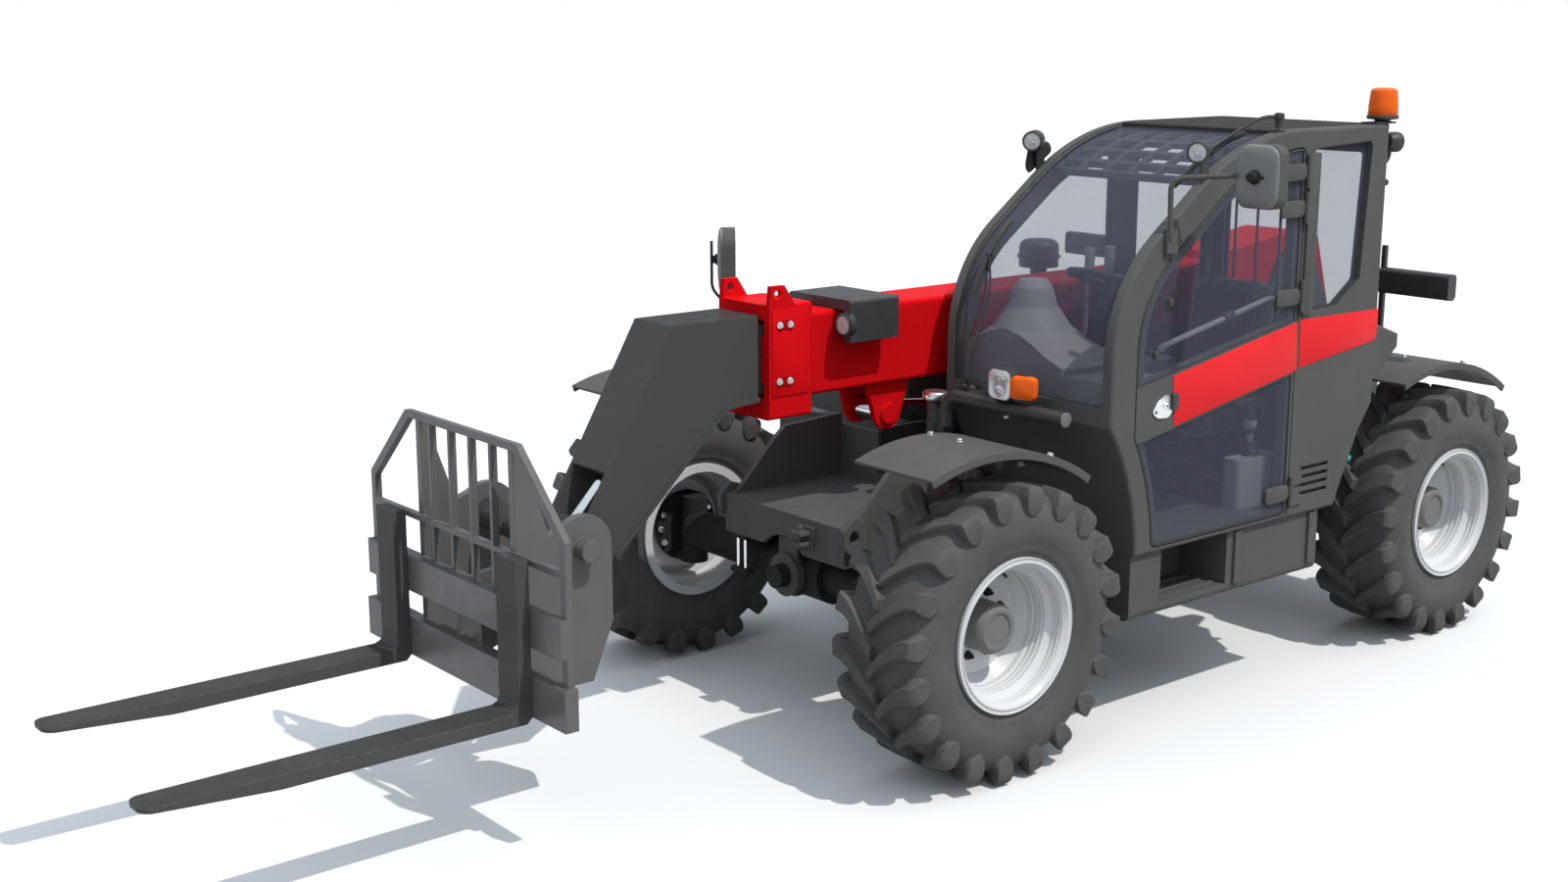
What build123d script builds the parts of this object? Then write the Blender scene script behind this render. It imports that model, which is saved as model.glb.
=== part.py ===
from build123d import *
import os
from math import cos, hypot, radians, sin, tan

# Compact telehandler, built as separate pieces in one frame.
# Millimetres. +X runs forward along the boom, +Y to the cab side, +Z up.
# The origin is on the ground, in the middle of the box round the whole machine.

# Wheels
WHEELBASE = 2690.0
FRONT_AXLE_X = 195.0
REAR_AXLE_X = FRONT_AXLE_X - WHEELBASE
WHEEL_Y = 917.0
KINGPIN_IN = 137.0
KINGPIN_Y = WHEEL_Y - KINGPIN_IN
TYRE_R = 537.0
TYRE_W = 400.0
AXLE_Z = TYRE_R
WHEEL_TOP = AXLE_Z + TYRE_R
LUG_H = 35.0
LUG_COUNT = 20
LUG_SKIRT = 100.0
RIM_R = 281.0
RIM_W = 356.0
BEAD_DROP = 27.0
RIM_SKIN = 9.0
DISC_U = -30.0
DISC_T = 14.0
HUB_R = 92.0
HUB_FLANGE_R = 138.0
HUB_BACK = 62.0
HUB_NOSE = 92.0
SPINDLE_R = 55.0

# Axles
BEAM_R = 80.0
DIFF_R = 112.0
DIFF_HALF = 150.0
KING_R = 28.0
KING_BOSS_R = 56.0
KING_H = 105.0
KING_DEPTH = 45.0
KNUCKLE_T = 36.0
KNUCKLE_R = 150.0
TRUNNION_R = 45.0
TRUNNION_NOSE = 45.0
SADDLE_Y = 250.0
SADDLE_HALF = 50.0
SADDLE_X = 70.0

# Chassis
NOSE_X = FRONT_AXLE_X + 155.0
NOSE_BACK_X = FRONT_AXLE_X - 430.0
NOSE_HALF = 360.0
NOSE_Z0 = 640.0
NOSE_Z1 = 790.0
NOSE_CHEEK_Z = 1045.0
RAIL_HALF = 180.0
RAIL_Z0 = 480.0
RAIL_Z1 = 1000.0
PLATE = 25.0
DECK_Z = 665.0
TOWER_IN = 150.0
TOWER_T = 30.0
TAIL_X = REAR_AXLE_X - 555.0
HITCH_REACH = 62.0
WEIGHT_T = 110.0
WEIGHT_X = TAIL_X + HITCH_REACH
FRAME_TAIL_X = WEIGHT_X + WEIGHT_T
HITCH_Z = 620.0
HITCH_R = 16.0
HITCH_JAW = 35.0
HITCH_PLATE = 20.0
HITCH_EAR_R = 28.0
HITCH_X = TAIL_X + HITCH_EAR_R

# Cab
CAB_LEFT = 1050.0
CAB_RIGHT = 200.0
WALL = 45.0
CAB_FRONT = FRONT_AXLE_X - 500.0
CAB_REAR = REAR_AXLE_X + 585.0
ROOF_Z = 2220.0
SILL_Z = 690.0
FLOOR_Z = 740.0
BROW_Z = 1700.0
BROW_SLOPE = 36.5
SCREEN_R = 550.0
ROOF_R = 1000.0
EDGE_R = 14.0
ARCH_R = TYRE_R + 413.0
ARCH_X = FRONT_AXLE_X + 290.0
ARCH_Z = AXLE_Z + 130.0
WING_X = REAR_AXLE_X + 425.0
WING_Z = WHEEL_TOP + 231.0
WING_LIP = 57.0
PILLAR = 105.0
HEADER = 66.0
DOOR_REAR_X = CAB_REAR + 535.0
DOOR_GAP = 6.0
DOOR_BAND = 50.0
DOOR_RIM = 5.0
DOOR_REAR_RIM = 16.0
GLASS_IN = 1.4
GLASS = 6.0
GLASS_GAP = 0.4
SCREEN_IN = 14.0
SCREEN_Z0 = 1262.0
INSIDE_Y0 = CAB_RIGHT + WALL
INSIDE_Y1 = CAB_LEFT - WALL
STRIPE_RISE = 0.1735
STRIPE_Z = 1311.0
STRIPE_H = 225.0
REAR_WINDOW_Z0 = 1400.0
REAR_WINDOW_Z1 = 2110.0
WINDOW_R = 24.0
FRONT_POST = 130.0
ROOF_FRONT_X = CAB_FRONT - 930.0
DOOR_Z0 = SILL_Z + 18.0
DOOR_ARCH = 85.0
HINGE_Y = CAB_LEFT + 12.0
HINGE_R = 10.0
HINGE_H = 44.0
HINGE_LEAF = 39.6
HINGE_HEIGHTS = (2060.0, 1920.0, 1580.0, 800.0)
REAR_FOOT_X = REAR_AXLE_X + 805.0
REAR_KNEE = (REAR_AXLE_X + 665.0, 985.0)
SEAT_Y = 600.0
STEER_Y = 540.0
STEER_R = 175.0
DASH_Y = 470.0

# Beacon
BEACON_R = 60.0
BEACON_H = 110.0

# Roof guard
GUARD_FRONT_X = CAB_FRONT - 530.0
GUARD_ROWS = (-65.0, -150.0, -256.0)
GUARD_LANES = 6
GUARD_BAR = 20.0
GUARD_IN = SCREEN_IN + GLASS + 8.0

# Boom
PIVOT_X = REAR_AXLE_X - 65.0
PIVOT_Z = 1490.0
PIVOT_PIN_R = 45.0
BOOM_HALF = 130.0
BOOM_Z0 = 1257.0
BOOM_Z1 = 1571.0
BOOM_WALL = 12.0
BOOM_BEND_R = 18.0
COLLAR_X0 = FRONT_AXLE_X + 140.0
COLLAR_LENGTH = 200.0
COLLAR_X1 = COLLAR_X0 + COLLAR_LENGTH
COLLAR_HALF = 150.0
COLLAR_Z0 = 1190.0
COLLAR_Z1 = 1615.0
LIFTING_X = COLLAR_X1 - 40.0
LIFTING_Z = COLLAR_Z1 + 38.0
LIFTING_R = 16.0
INNER_HALF = 100.0
INNER_Z0 = 1287.0
INNER_Z1 = 1541.0
INNER_WALL = 10.0
INNER_REAR_X = PIVOT_X + 410.0
NECK_X = COLLAR_X1 + 25.0
NECK_HALF = 115.0
NECK_WALL = 14.0
NECK_FLANGE = 12.0
PAD = 80.0
PAD_GAP = 0.4
HEAD_X = COLLAR_X1 + 930.0
HEAD_Z = 910.0
HEAD_PIN_R = 38.0
HEAD_TUBE_R = 58.0
HEAD_ROOM_R = 300.0

# Carriage
EAR_R = 115.0
EAR_IN = 290.0
EAR_T = 30.0
HEAD_PIN_OUT = 55.0
BAR_X0 = HEAD_X + 250.0
BAR_T = 50.0
BAR_X1 = BAR_X0 + BAR_T
BAR_HALF = 640.0
UPPER_BAR_Z0 = 667.0
UPPER_BAR_Z1 = 795.0
LOWER_BAR_Z0 = 430.0
LOWER_BAR_Z1 = 570.0
LOWER_BAR_OUT = 20.0
GUARD_T = 25.0
GUARD_TOP = 1310.0
GUARD_TOP_HALF = 365.0
GUARD_SHOULDER = 1045.0
GUARD_RAIL = 25.0
FORK_IN = 237.0
FORK_Y = BAR_HALF - FORK_IN
FORK_W = 122.0
FORK_T = 46.0
FORK_TOP = 457.0
FORK_LENGTH = 1285.0
FORK_TAPER = 420.0
FORK_TIP_T = 14.0
SHANK_T = 50.0
SHANK_TOP = 960.0
TIP_X = BAR_X1 + FORK_LENGTH

# Cylinders
LIFT_BASE = (PIVOT_X + 260.0, 900.0)
LIFT_EYE = (FRONT_AXLE_X - 295.0, 1130.0)
LIFT_R = 65.0
LIFT_ROD_R = 40.0
LIFT_HALF = 90.0
LIFT_PIN_R = 35.0
LIFT_BASE_R = 75.0
LIFT_EYE_R = 45.0
LIFT_EYE_HALF = 63.0
LIFT_ROD_OUT = 460.0
LIFT_SPARE = 60.0
TILT_BASE = (NECK_X + 215.0, 1450.0)
TILT_EYE = (HEAD_X + 7.0, HEAD_Z - 200.0)
TILT_R = 48.0
TILT_ROD_R = 28.0
TILT_HALF = 60.0
TILT_BASE_R = 52.0
TILT_EYE_R = 42.0
TILT_ROD_OUT = 456.0
TILT_SPARE = 345.0
TILT_LEVER_IN = 62.0
TILT_LEVER_T = 22.0
ROD_GAP = 0.05

# Engine side
ENGINE_X0 = REAR_AXLE_X + 695.0
ENGINE_X1 = FRONT_AXLE_X - 665.0
ENGINE_Y0 = -1050.0
ENGINE_Y1 = -205.0
ENGINE_Z0 = 560.0
ENGINE_Z1 = 1180.0
LID_X0 = ENGINE_X0 + 200.0
LID_Z1 = 1270.0
LID_IN = 8.0
SHEET = 20.0
LID_PIN_R = 9.0
INTAKE_X = ENGINE_X0 + 85.0
INTAKE_Y = -650.0
INTAKE_R = 92.0
INTAKE_STEM_R = 39.0
INTAKE_Z0 = 1500.0
INTAKE_Z1 = 1626.0

# Fenders, tank and lamps
FENDER_R = 850.0
FENDER_T = 10.0
FENDER_RISE = 126.0
FENDER_TOP = WHEEL_TOP + FENDER_RISE
FENDER_SHIFT = 110.0
FENDER_FIRST = 70.0
FENDER_LAST = 124.6
FENDER_Y0 = WHEEL_Y - 227.0
FENDER_Y1 = WHEEL_Y + 163.0
FENDER_LIP = 28.0
TANK_X0 = REAR_AXLE_X + 884.0
TANK_X1 = FRONT_AXLE_X - TYRE_R - 124.0
TANK_Y0 = 521.0
TANK_Y1 = 1030.0
TANK_Z0 = 435.0
STEP_X0 = TANK_X1 - 564.0
STEP_X1 = TANK_X1 - 174.0
STEP_Y = 800.0
STEP_T = 45.0
BAR_LAMP_X = CAB_FRONT + 115.0
BAR_LAMP_Z = 1228.0
BAR_LAMP_R = 27.0
BAR_LAMP_Y0 = 330.0
BAR_LAMP_Y1 = 940.0
HEADLAMP_Y = 645.0
HEADLAMP_Z = 1318.0
HEADLAMP_H = 120.0
HEADLAMP_W = 120.0
HEADLAMP_D = 95.0
MIRROR_ARM = 170.0
MIRROR_W = 180.0
MIRROR_H = 225.0
MIRROR_T = 50.0
MIRROR_REACH = CAB_LEFT + MIRROR_ARM + MIRROR_W
TUBE_R = 10.0

# Fits
RUN_GAP = 0.05
FACE_GAP = 0.4
SEAT_GAP = 0.3


# Helpers for shapes
def block(x0, x1, y0, y1, z0, z1):
    middle = Pos((x0 + x1) / 2, (y0 + y1) / 2, (z0 + z1) / 2)
    return middle * Box(abs(x1 - x0), abs(y1 - y0), abs(z1 - z0))


def side_plane(y):
    return Plane(origin=(0, y, 0), x_dir=(1, 0, 0), z_dir=(0, -1, 0))


def flat_face(points, corner=0):
    face = make_face(Polyline(*points, close=True))
    if corner:
        face = fillet(face.vertices(), corner)
    return face


def side_plate(points, y0, y1, corner=0):
    """A plate with an outline in X and Z, from y0 to y1."""
    return extrude(side_plane(max(y0, y1)) * flat_face(points, corner), amount=abs(y1 - y0))


def front_plate(points, x0, x1, corner=0):
    """A plate with an outline in Y and Z, from x0 to x1."""
    plane = Plane(origin=(x0, 0, 0), x_dir=(0, 1, 0), z_dir=(1, 0, 0))
    return extrude(plane * flat_face(points, corner), amount=x1 - x0)


def rod(start, end, radius):
    start = Vector(*start)
    end = Vector(*end)
    way = end - start
    return extrude(Plane(origin=start, z_dir=way) * Circle(radius), amount=way.length)


def rod_x(y, z, radius, x0, x1):
    return rod((x0, y, z), (x1, y, z), radius)


def rod_y(x, z, radius, y0, y1):
    return rod((x, min(y0, y1), z), (x, max(y0, y1), z), radius)


def rod_z(x, y, radius, z0, z1):
    return rod((x, y, z0), (x, y, z1), radius)


def tube_path(points, bend, radius):
    """A round bar along a path with bent corners."""
    path = FilletPolyline(*points, radius=bend)
    section = Plane(origin=path @ 0, z_dir=path % 0) * Circle(radius)
    return sweep(section, path=path)


def turned(points, x, y, z):
    """A ring about the wheel's axis, from points of radius and offset."""
    return Pos(x, y, z) * revolve(flat_face(points), axis=Axis.Y)


def mirrored(shape):
    return mirror(shape, about=Plane.XZ)


def round_edges(shape, axis, radius):
    return fillet(shape.edges().filter_by(axis), radius)


def sharp_edges(shape, axis):
    """Straight edges along an axis where two faces meet at a clear angle."""
    faces = shape.faces()
    chosen = []
    for edge in shape.edges().filter_by(axis):
        middle = edge.center()
        sides = [f for f in faces if any(edge.is_same(other) for other in f.edges())]
        first = sides[0].normal_at(middle)
        second = sides[-1].normal_at(middle)
        if first.get_angle(second) > 15:
            chosen.append(edge)
    return chosen


def round_corners(shape, axis, radius):
    return fillet(sharp_edges(shape, axis), radius)


def inset(points, amount):
    """The corners of an outline moved inward by an amount."""
    count = len(points)
    area = 0.0
    for i in range(count):
        ax, az = points[i - 1]
        bx, bz = points[i]
        area += ax * bz - bx * az
    turn = 1.0 if area > 0 else -1.0
    moved = []
    for i in range(count):
        ax, az = points[i - 1]
        bx, bz = points[i]
        cx, cz = points[(i + 1) % count]
        first = hypot(bx - ax, bz - az)
        second = hypot(cx - bx, cz - bz)
        n1 = (-(bz - az) / first * turn, (bx - ax) / first * turn)
        n2 = (-(cz - bz) / second * turn, (cx - bx) / second * turn)
        share = amount / (1.0 + n1[0] * n2[0] + n1[1] * n2[1])
        moved.append((bx + (n1[0] + n2[0]) * share, bz + (n1[1] + n2[1]) * share))
    return moved


# Wheels
def tyre_carcass():
    """The smooth body of a tyre about the origin, its axis along Y."""
    half = TYRE_W / 2
    bead = RIM_R - BEAD_DROP + SEAT_GAP
    seat = RIM_W / 2 - 12.0
    crown = TYRE_R - LUG_H
    foot = (RIM_R + 18.0, seat + 6.0)
    bulge = (RIM_R + 84.0, half - 5.0)
    skirt = (TYRE_R - LUG_SKIRT - 6.0, half - 12.0)
    shoulder = (crown - 22.0, half - 36.0)
    edge = (crown, half - 72.0)

    def far(point):
        return (point[0], -point[1])

    tread = Polyline(skirt, shoulder, edge, far(edge), far(shoulder), far(skirt))
    inner = Polyline(
        far(foot), (RIM_R + 2.0, -seat), (bead, -seat), (bead + 14.0, 22.0 - seat),
        (bead + 14.0, seat - 22.0), (bead, seat), (RIM_R + 2.0, seat), foot)
    near_wall = ThreePointArc(foot, bulge, skirt)
    far_wall = ThreePointArc(far(skirt), far(bulge), far(foot))
    return revolve(make_face(tread + far_wall + inner + near_wall), axis=Axis.Y)


def tyre_lug():
    """One lug on top of the tyre, from the middle to the shoulder."""
    half = TYRE_W / 2
    low = TYRE_R - LUG_SKIRT
    outline = [
        (95, -10), (5, half * 0.52), (-38, half + 12), (-98, half + 12), (-50, half * 0.52), (45, -10),
    ]
    bar = extrude(Pos(0, 0, low - 5) * flat_face(outline), amount=LUG_SKIRT + 10)
    envelope = [
        (low, half - 34), (low + 30, half - 3), (TYRE_R - 22, half), (TYRE_R, half - 26),
        (TYRE_R, -half), (low, -half),
    ]
    return bar & revolve(flat_face(envelope), axis=Axis.Y)


def tyre():
    """A tyre for the left side, about the origin."""
    lug = tyre_lug()
    twin = mirrored(lug)
    pitch = 360.0 / LUG_COUNT
    lugs = []
    for i in range(LUG_COUNT):
        lugs.append(Rot(0, pitch * i, 0) * lug)
        lugs.append(Rot(0, pitch * (i + 0.5), 0) * twin)
    return tyre_carcass() + lugs


def rim(x, y):
    half = RIM_W / 2
    seat = RIM_R - BEAD_DROP
    well = seat - 24.0
    inner = seat - RIM_SKIN
    deep = well - RIM_SKIN
    front = DISC_U + DISC_T
    profile = [
        (RIM_R, half),
        (RIM_R, half - 10.0),
        (seat, half - 11.5),
        (seat, half - 60.0),
        (well, half - 78.0),
        (well, -half + 100.0),
        (seat, -half + 82.0),
        (seat, -half + 11.5),
        (RIM_R, -half + 10.0),
        (RIM_R, -half),
        (inner, -half),
        (inner, -half + 78.0),
        (deep, -half + 96.0),
        (deep, DISC_U + 40.0),
        (deep - 34.0, DISC_U),
        (HUB_R, DISC_U),
        (HUB_R, front),
        (deep - 40.0, front),
        (deep - 6.0, front + 40.0),
        (deep - 6.0, front + 62.0),
        (deep, front + 66.0),
        (deep, half - 74.0),
        (inner, half - 56.0),
        (inner, half - 14.0),
        (inner + 12.0, half),
    ]
    if y < 0:
        profile = [(r, -u) for r, u in profile]
    return turned(profile, x, y, AXLE_Z)


def hub(x, y):
    bore = SPINDLE_R + RUN_GAP
    radius = HUB_R - 0.2
    disc = DISC_U - 0.2
    profile = [
        (bore, -HUB_BACK),
        (HUB_FLANGE_R, -HUB_BACK),
        (HUB_FLANGE_R, disc),
        (radius, disc),
        (radius, HUB_NOSE - 20.0),
        (radius - 8.0, HUB_NOSE - 8.0),
        (radius - 16.0, HUB_NOSE),
        (radius - 30.0, HUB_NOSE),
        (radius - 34.0, HUB_NOSE - 5.0),
        (0.0, HUB_NOSE - 5.0),
        (0.0, HUB_NOSE - 60.0),
        (bore, HUB_NOSE - 60.0),
    ]
    if y < 0:
        profile = [(r, -u) for r, u in profile]
    return turned(profile, x, y, AXLE_Z)


def knuckle_left(x):
    king = KINGPIN_Y
    face = WHEEL_Y - HUB_BACK - FACE_GAP
    inner = KINGPIN_Y + KING_BOSS_R + 6.0
    top = KING_H + FACE_GAP
    body = rod_y(x, AXLE_Z, KNUCKLE_R, inner, face)
    for side in (1, -1):
        z0 = AXLE_Z + side * top
        z1 = AXLE_Z + side * (top + KNUCKLE_T)
        z2 = AXLE_Z + side * (KING_H - KING_DEPTH)
        arm = block(x - 48, x + 48, king, face, z0, z1)
        boss = rod_z(x, king, KING_BOSS_R, min(z0, z1), max(z0, z1))
        pin = rod_z(x, king, KING_R, min(z0, z2), max(z0, z2))
        body = body + arm + boss + pin
    return body + rod_y(x, AXLE_Z, SPINDLE_R, inner, WHEEL_Y + HUB_NOSE - 70.0)


def axle_beam(x):
    reach = KINGPIN_Y - 20.0
    body = rod_y(x, AXLE_Z, BEAM_R, -reach, reach)
    body = body + rod_y(x, AXLE_Z, DIFF_R, -DIFF_HALF, DIFF_HALF)
    body = body + rod_x(0, AXLE_Z, DIFF_R - 20, x - 190.0, x + 110.0)
    blind = KING_H - KING_DEPTH - 10.0
    for side in (1, -1):
        king = side * KINGPIN_Y
        body = body + rod_z(x, king, KING_BOSS_R, AXLE_Z - KING_H, AXLE_Z + KING_H)
        body = body - rod_z(x, king, KING_R + RUN_GAP, AXLE_Z - KING_H - 5, AXLE_Z - blind)
        body = body - rod_z(x, king, KING_R + RUN_GAP, AXLE_Z + blind, AXLE_Z + KING_H + 5)
    return body


def front_axle():
    trunnion = rod_x(0, AXLE_Z, TRUNNION_R, FRONT_AXLE_X, NOSE_X + TRUNNION_NOSE)
    return axle_beam(FRONT_AXLE_X) + trunnion


def rear_axle():
    body = axle_beam(REAR_AXLE_X)
    for side in (1, -1):
        y0 = side * (SADDLE_Y - SADDLE_HALF)
        y1 = side * (SADDLE_Y + SADDLE_HALF)
        body = body + block(REAR_AXLE_X - SADDLE_X, REAR_AXLE_X + SADDLE_X, y0, y1, AXLE_Z, DECK_Z - SEAT_GAP)
    return body


# Chassis
def nose_box():
    back = NOSE_BACK_X
    cheek = [
        (NOSE_X, NOSE_Z0), (NOSE_X, NOSE_Z1), (NOSE_X - 50, NOSE_Z1 + 10), (NOSE_X - 225, NOSE_CHEEK_Z - 70),
        (NOSE_X - 290, NOSE_CHEEK_Z - 15), (back, NOSE_CHEEK_Z), (back, NOSE_Z0),
    ]
    tie = [
        (NOSE_X - 88, 700), (NOSE_X - 88, 815), (NOSE_X - 30, 835), (NOSE_X + 22, 790), (NOSE_X + 22, 725),
        (NOSE_X - 20, 690),
    ]
    body = block(back, NOSE_X, -NOSE_HALF, NOSE_HALF, NOSE_Z1 - 30, NOSE_Z1)
    body = body + block(back - PLATE, back, -NOSE_HALF, NOSE_HALF, NOSE_Z0, RAIL_Z1)
    body = body - block(back - PLATE - 5, back + 5, -110, 110, 830, RAIL_Z1 + 5)
    face = block(NOSE_X - PLATE, NOSE_X, -NOSE_HALF, NOSE_HALF, NOSE_Z0, NOSE_Z1)
    body = body + (face - rod_x(0, AXLE_Z, DIFF_R + 45, NOSE_X - 60, NOSE_X + 60))
    for side in (1, -1):
        body = body + side_plate(cheek, side * (NOSE_HALF - PLATE), side * NOSE_HALF)
        lug = side_plate(tie, side * NOSE_HALF, side * (NOSE_HALF + PLATE), 14)
        body = body + (lug - rod_y(NOSE_X - 28, 762, 24, -500, 500))
    web = block(NOSE_X - 40, NOSE_X - PLATE, -55, 55, AXLE_Z, NOSE_Z1 - 20)
    ring = rod_x(0, AXLE_Z, TRUNNION_R + 40, NOSE_X - 40, NOSE_X - 4)
    hanger = web + ring - rod_x(0, AXLE_Z, TRUNNION_R + RUN_GAP, NOSE_X - 60, NOSE_X + 60)
    return body + hanger


def tow_clevis():
    """The small front towing bracket on the nose."""
    y = 150.0
    body = block(NOSE_X - 2, NOSE_X + 12, y - 45, y + 45, 680, 765)
    for z in (695.0, 735.0):
        body = body + block(NOSE_X, NOSE_X + 62, y - 30, y + 30, z, z + 14)
    return body + rod_z(NOSE_X + 40, y, 11, 680, 770)


def boom_tower():
    base = DECK_Z + PLATE
    outline = [
        (FRAME_TAIL_X, base), (FRAME_TAIL_X, 1180), (PIVOT_X - 120, PIVOT_Z + 70), (PIVOT_X - 50, PIVOT_Z + 120),
        (PIVOT_X + 50, PIVOT_Z + 120), (PIVOT_X + 120, PIVOT_Z + 60), (REAR_AXLE_X + 395, RAIL_Z1 - 40),
        (REAR_AXLE_X + 395, base),
    ]
    body = Part()
    for side in (1, -1):
        body = body + side_plate(outline, side * TOWER_IN, side * (TOWER_IN + TOWER_T))
        y0 = side * (TOWER_IN + TOWER_T)
        body = body + rod_y(PIVOT_X, PIVOT_Z, PIVOT_PIN_R + 35, y0, y0 + side * 8)
    return body - rod_y(PIVOT_X, PIVOT_Z, PIVOT_PIN_R + RUN_GAP, -400, 400)


def chassis_frame():
    deck_x = REAR_AXLE_X + 185.0
    belly_x0 = REAR_AXLE_X + 345.0
    belly_x1 = FRONT_AXLE_X - 595.0
    rail = [
        (NOSE_BACK_X, NOSE_Z0), (NOSE_BACK_X, RAIL_Z1), (FRAME_TAIL_X + 60, RAIL_Z1), (FRAME_TAIL_X, 900),
        (FRAME_TAIL_X, DECK_Z), (deck_x, DECK_Z), (belly_x0, RAIL_Z0), (belly_x1, RAIL_Z0),
    ]
    body = nose_box() + tow_clevis()
    for side in (1, -1):
        body = body + side_plate(rail, side * (RAIL_HALF - PLATE), side * RAIL_HALF)
    body = body + block(belly_x0, belly_x1, -RAIL_HALF, RAIL_HALF, RAIL_Z0, RAIL_Z0 + 20)
    body = body + block(FRAME_TAIL_X, deck_x, 20 - NOSE_HALF, NOSE_HALF - 20, DECK_Z, DECK_Z + PLATE)
    body = body + boom_tower()
    for x in (CAB_FRONT - 315.0, CAB_REAR + 310.0):
        body = body + block(x - 40, x + 40, RAIL_HALF, TANK_Y0 - 1, ENGINE_Z0, SILL_Z - FACE_GAP)
        body = body + block(x - 40, x + 40, 1 - TANK_Y0, -RAIL_HALF, RAIL_Z0, ENGINE_Z0 - FACE_GAP)
    x, z = LIFT_BASE
    for side in (1, -1):
        body = body + rod_y(x, z, 70.0, side * (LIFT_HALF + FACE_GAP), side * (TOWER_IN + 5))
    return body - rod_y(x, z, LIFT_PIN_R + RUN_GAP, -250, 250)


def frame_pins():
    boom_end = TOWER_IN + TOWER_T + 16.0
    lift_end = TOWER_IN + TOWER_T + 10.0
    boom_pin = rod_y(PIVOT_X, PIVOT_Z, PIVOT_PIN_R, -boom_end, boom_end)
    lift_pin = rod_y(LIFT_BASE[0], LIFT_BASE[1], LIFT_PIN_R, -lift_end, lift_end)
    return Compound(children=[Part() + boom_pin, Part() + lift_pin])


def counterweight():
    front = FRAME_TAIL_X - SEAT_GAP
    outline = [
        (WEIGHT_X, 560), (WEIGHT_X, 1000), (WEIGHT_X + 30, 1090), (front, 1090), (front, 480), (WEIGHT_X + 20, 480),
    ]
    return side_plate(outline, -NOSE_HALF, NOSE_HALF)


def tow_hitch():
    body = block(WEIGHT_X - 10, WEIGHT_X - SEAT_GAP, -90, 90, HITCH_Z - 80, HITCH_Z + 80)
    for side in (1, -1):
        z0 = HITCH_Z + side * HITCH_JAW
        z1 = HITCH_Z + side * (HITCH_JAW + HITCH_PLATE)
        jaw = block(HITCH_X, WEIGHT_X - 5, -HITCH_EAR_R, HITCH_EAR_R, z0, z1)
        body = body + jaw + rod_z(HITCH_X, 0, HITCH_EAR_R, min(z0, z1), max(z0, z1))
    return body - rod_z(HITCH_X, 0, HITCH_R, HITCH_Z - 100, HITCH_Z + 100)


# Engine side
def lid_hinge(radius, shift, length):
    """The hinge barrels of the housing or the lid, at two places."""
    y = ENGINE_Y1 - LID_IN
    z = ENGINE_Z1 + FACE_GAP
    bars = Part()
    for x in (LID_X0 + 200.0, ENGINE_X1 - 200.0):
        bars = bars + rod_x(y, z, radius, x + shift, x + shift + length)
    return bars


def engine_housing():
    body = block(ENGINE_X0, ENGINE_X1, ENGINE_Y0, ENGINE_Y1, ENGINE_Z0, ENGINE_Z1)
    body = round_edges(body, Axis.Z, 30)
    body = body - block(
        ENGINE_X0 + SHEET, ENGINE_X1 - SHEET, ENGINE_Y0 + SHEET, ENGINE_Y1 - SHEET,
        ENGINE_Z0 + SHEET, ENGINE_Z1 - SHEET)
    body = body - block(
        LID_X0, ENGINE_X1 - SHEET, ENGINE_Y0 + SHEET, ENGINE_Y1 - SHEET, ENGINE_Z1 - SHEET - 5, ENGINE_Z1 + 5)
    for row in range(7):
        z = 740.0 + 48.0 * row
        for x in (ENGINE_X0 + 180.0, ENGINE_X0 + 620.0):
            body = body - block(x, x + 400, ENGINE_Y0 - 5, ENGINE_Y0 + SHEET + 5, z, z + 20)
    body = body - lid_hinge(LID_PIN_R + 1.0, -1.0, 62.0)
    return body + lid_hinge(LID_PIN_R, -61.5, 60.0)


def engine_lid():
    x0 = LID_X0 + FACE_GAP
    y1 = ENGINE_Y1 - LID_IN
    z0 = ENGINE_Z1 + FACE_GAP
    outline = [
        (y1, z0), (y1, LID_Z1), (ENGINE_Y0 + 130, LID_Z1 - 10), (ENGINE_Y0, LID_Z1 - 60), (ENGINE_Y0, z0),
    ]
    body = front_plate(outline, x0, ENGINE_X1)
    top = body.edges().filter_by(Axis.X).group_by(Axis.Z)[1:]
    body = fillet([edge for level in top for edge in level], 18)
    room = [
        (y1 - SHEET, z0 - 5), (y1 - SHEET, LID_Z1 - SHEET), (ENGINE_Y0 + 130, LID_Z1 - 10 - SHEET),
        (ENGINE_Y0 + SHEET, LID_Z1 - 66 - SHEET), (ENGINE_Y0 + SHEET, z0 - 5),
    ]
    body = body - front_plate(room, x0 + SHEET, ENGINE_X1 - SHEET)
    body = body - lid_hinge(LID_PIN_R + 1.0, -62.5, 62.0)
    return body + lid_hinge(LID_PIN_R, 0.0, 60.0)


def engine_block():
    return block(ENGINE_X0 + 300, ENGINE_X1 - 230, -860, -420, ENGINE_Z0 + SHEET + SEAT_GAP, ENGINE_Z1 - 120)


def air_intake():
    z0 = ENGINE_Z1 + SEAT_GAP
    stem = rod_z(INTAKE_X, INTAKE_Y, INTAKE_STEM_R, z0, INTAKE_Z0 + 10)
    foot = rod_z(INTAKE_X, INTAKE_Y, INTAKE_STEM_R + 22, z0, z0 + 14)
    cap = rod_z(INTAKE_X, INTAKE_Y, INTAKE_R, INTAKE_Z0, INTAKE_Z1)
    cap = fillet(cap.faces().sort_by(Axis.Z)[-1].edges(), 38)
    rim_ring = rod_z(INTAKE_X, INTAKE_Y, INTAKE_R + 8, INTAKE_Z0 + 42, INTAKE_Z0 + 54)
    return stem + foot + cap + rim_ring


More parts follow.
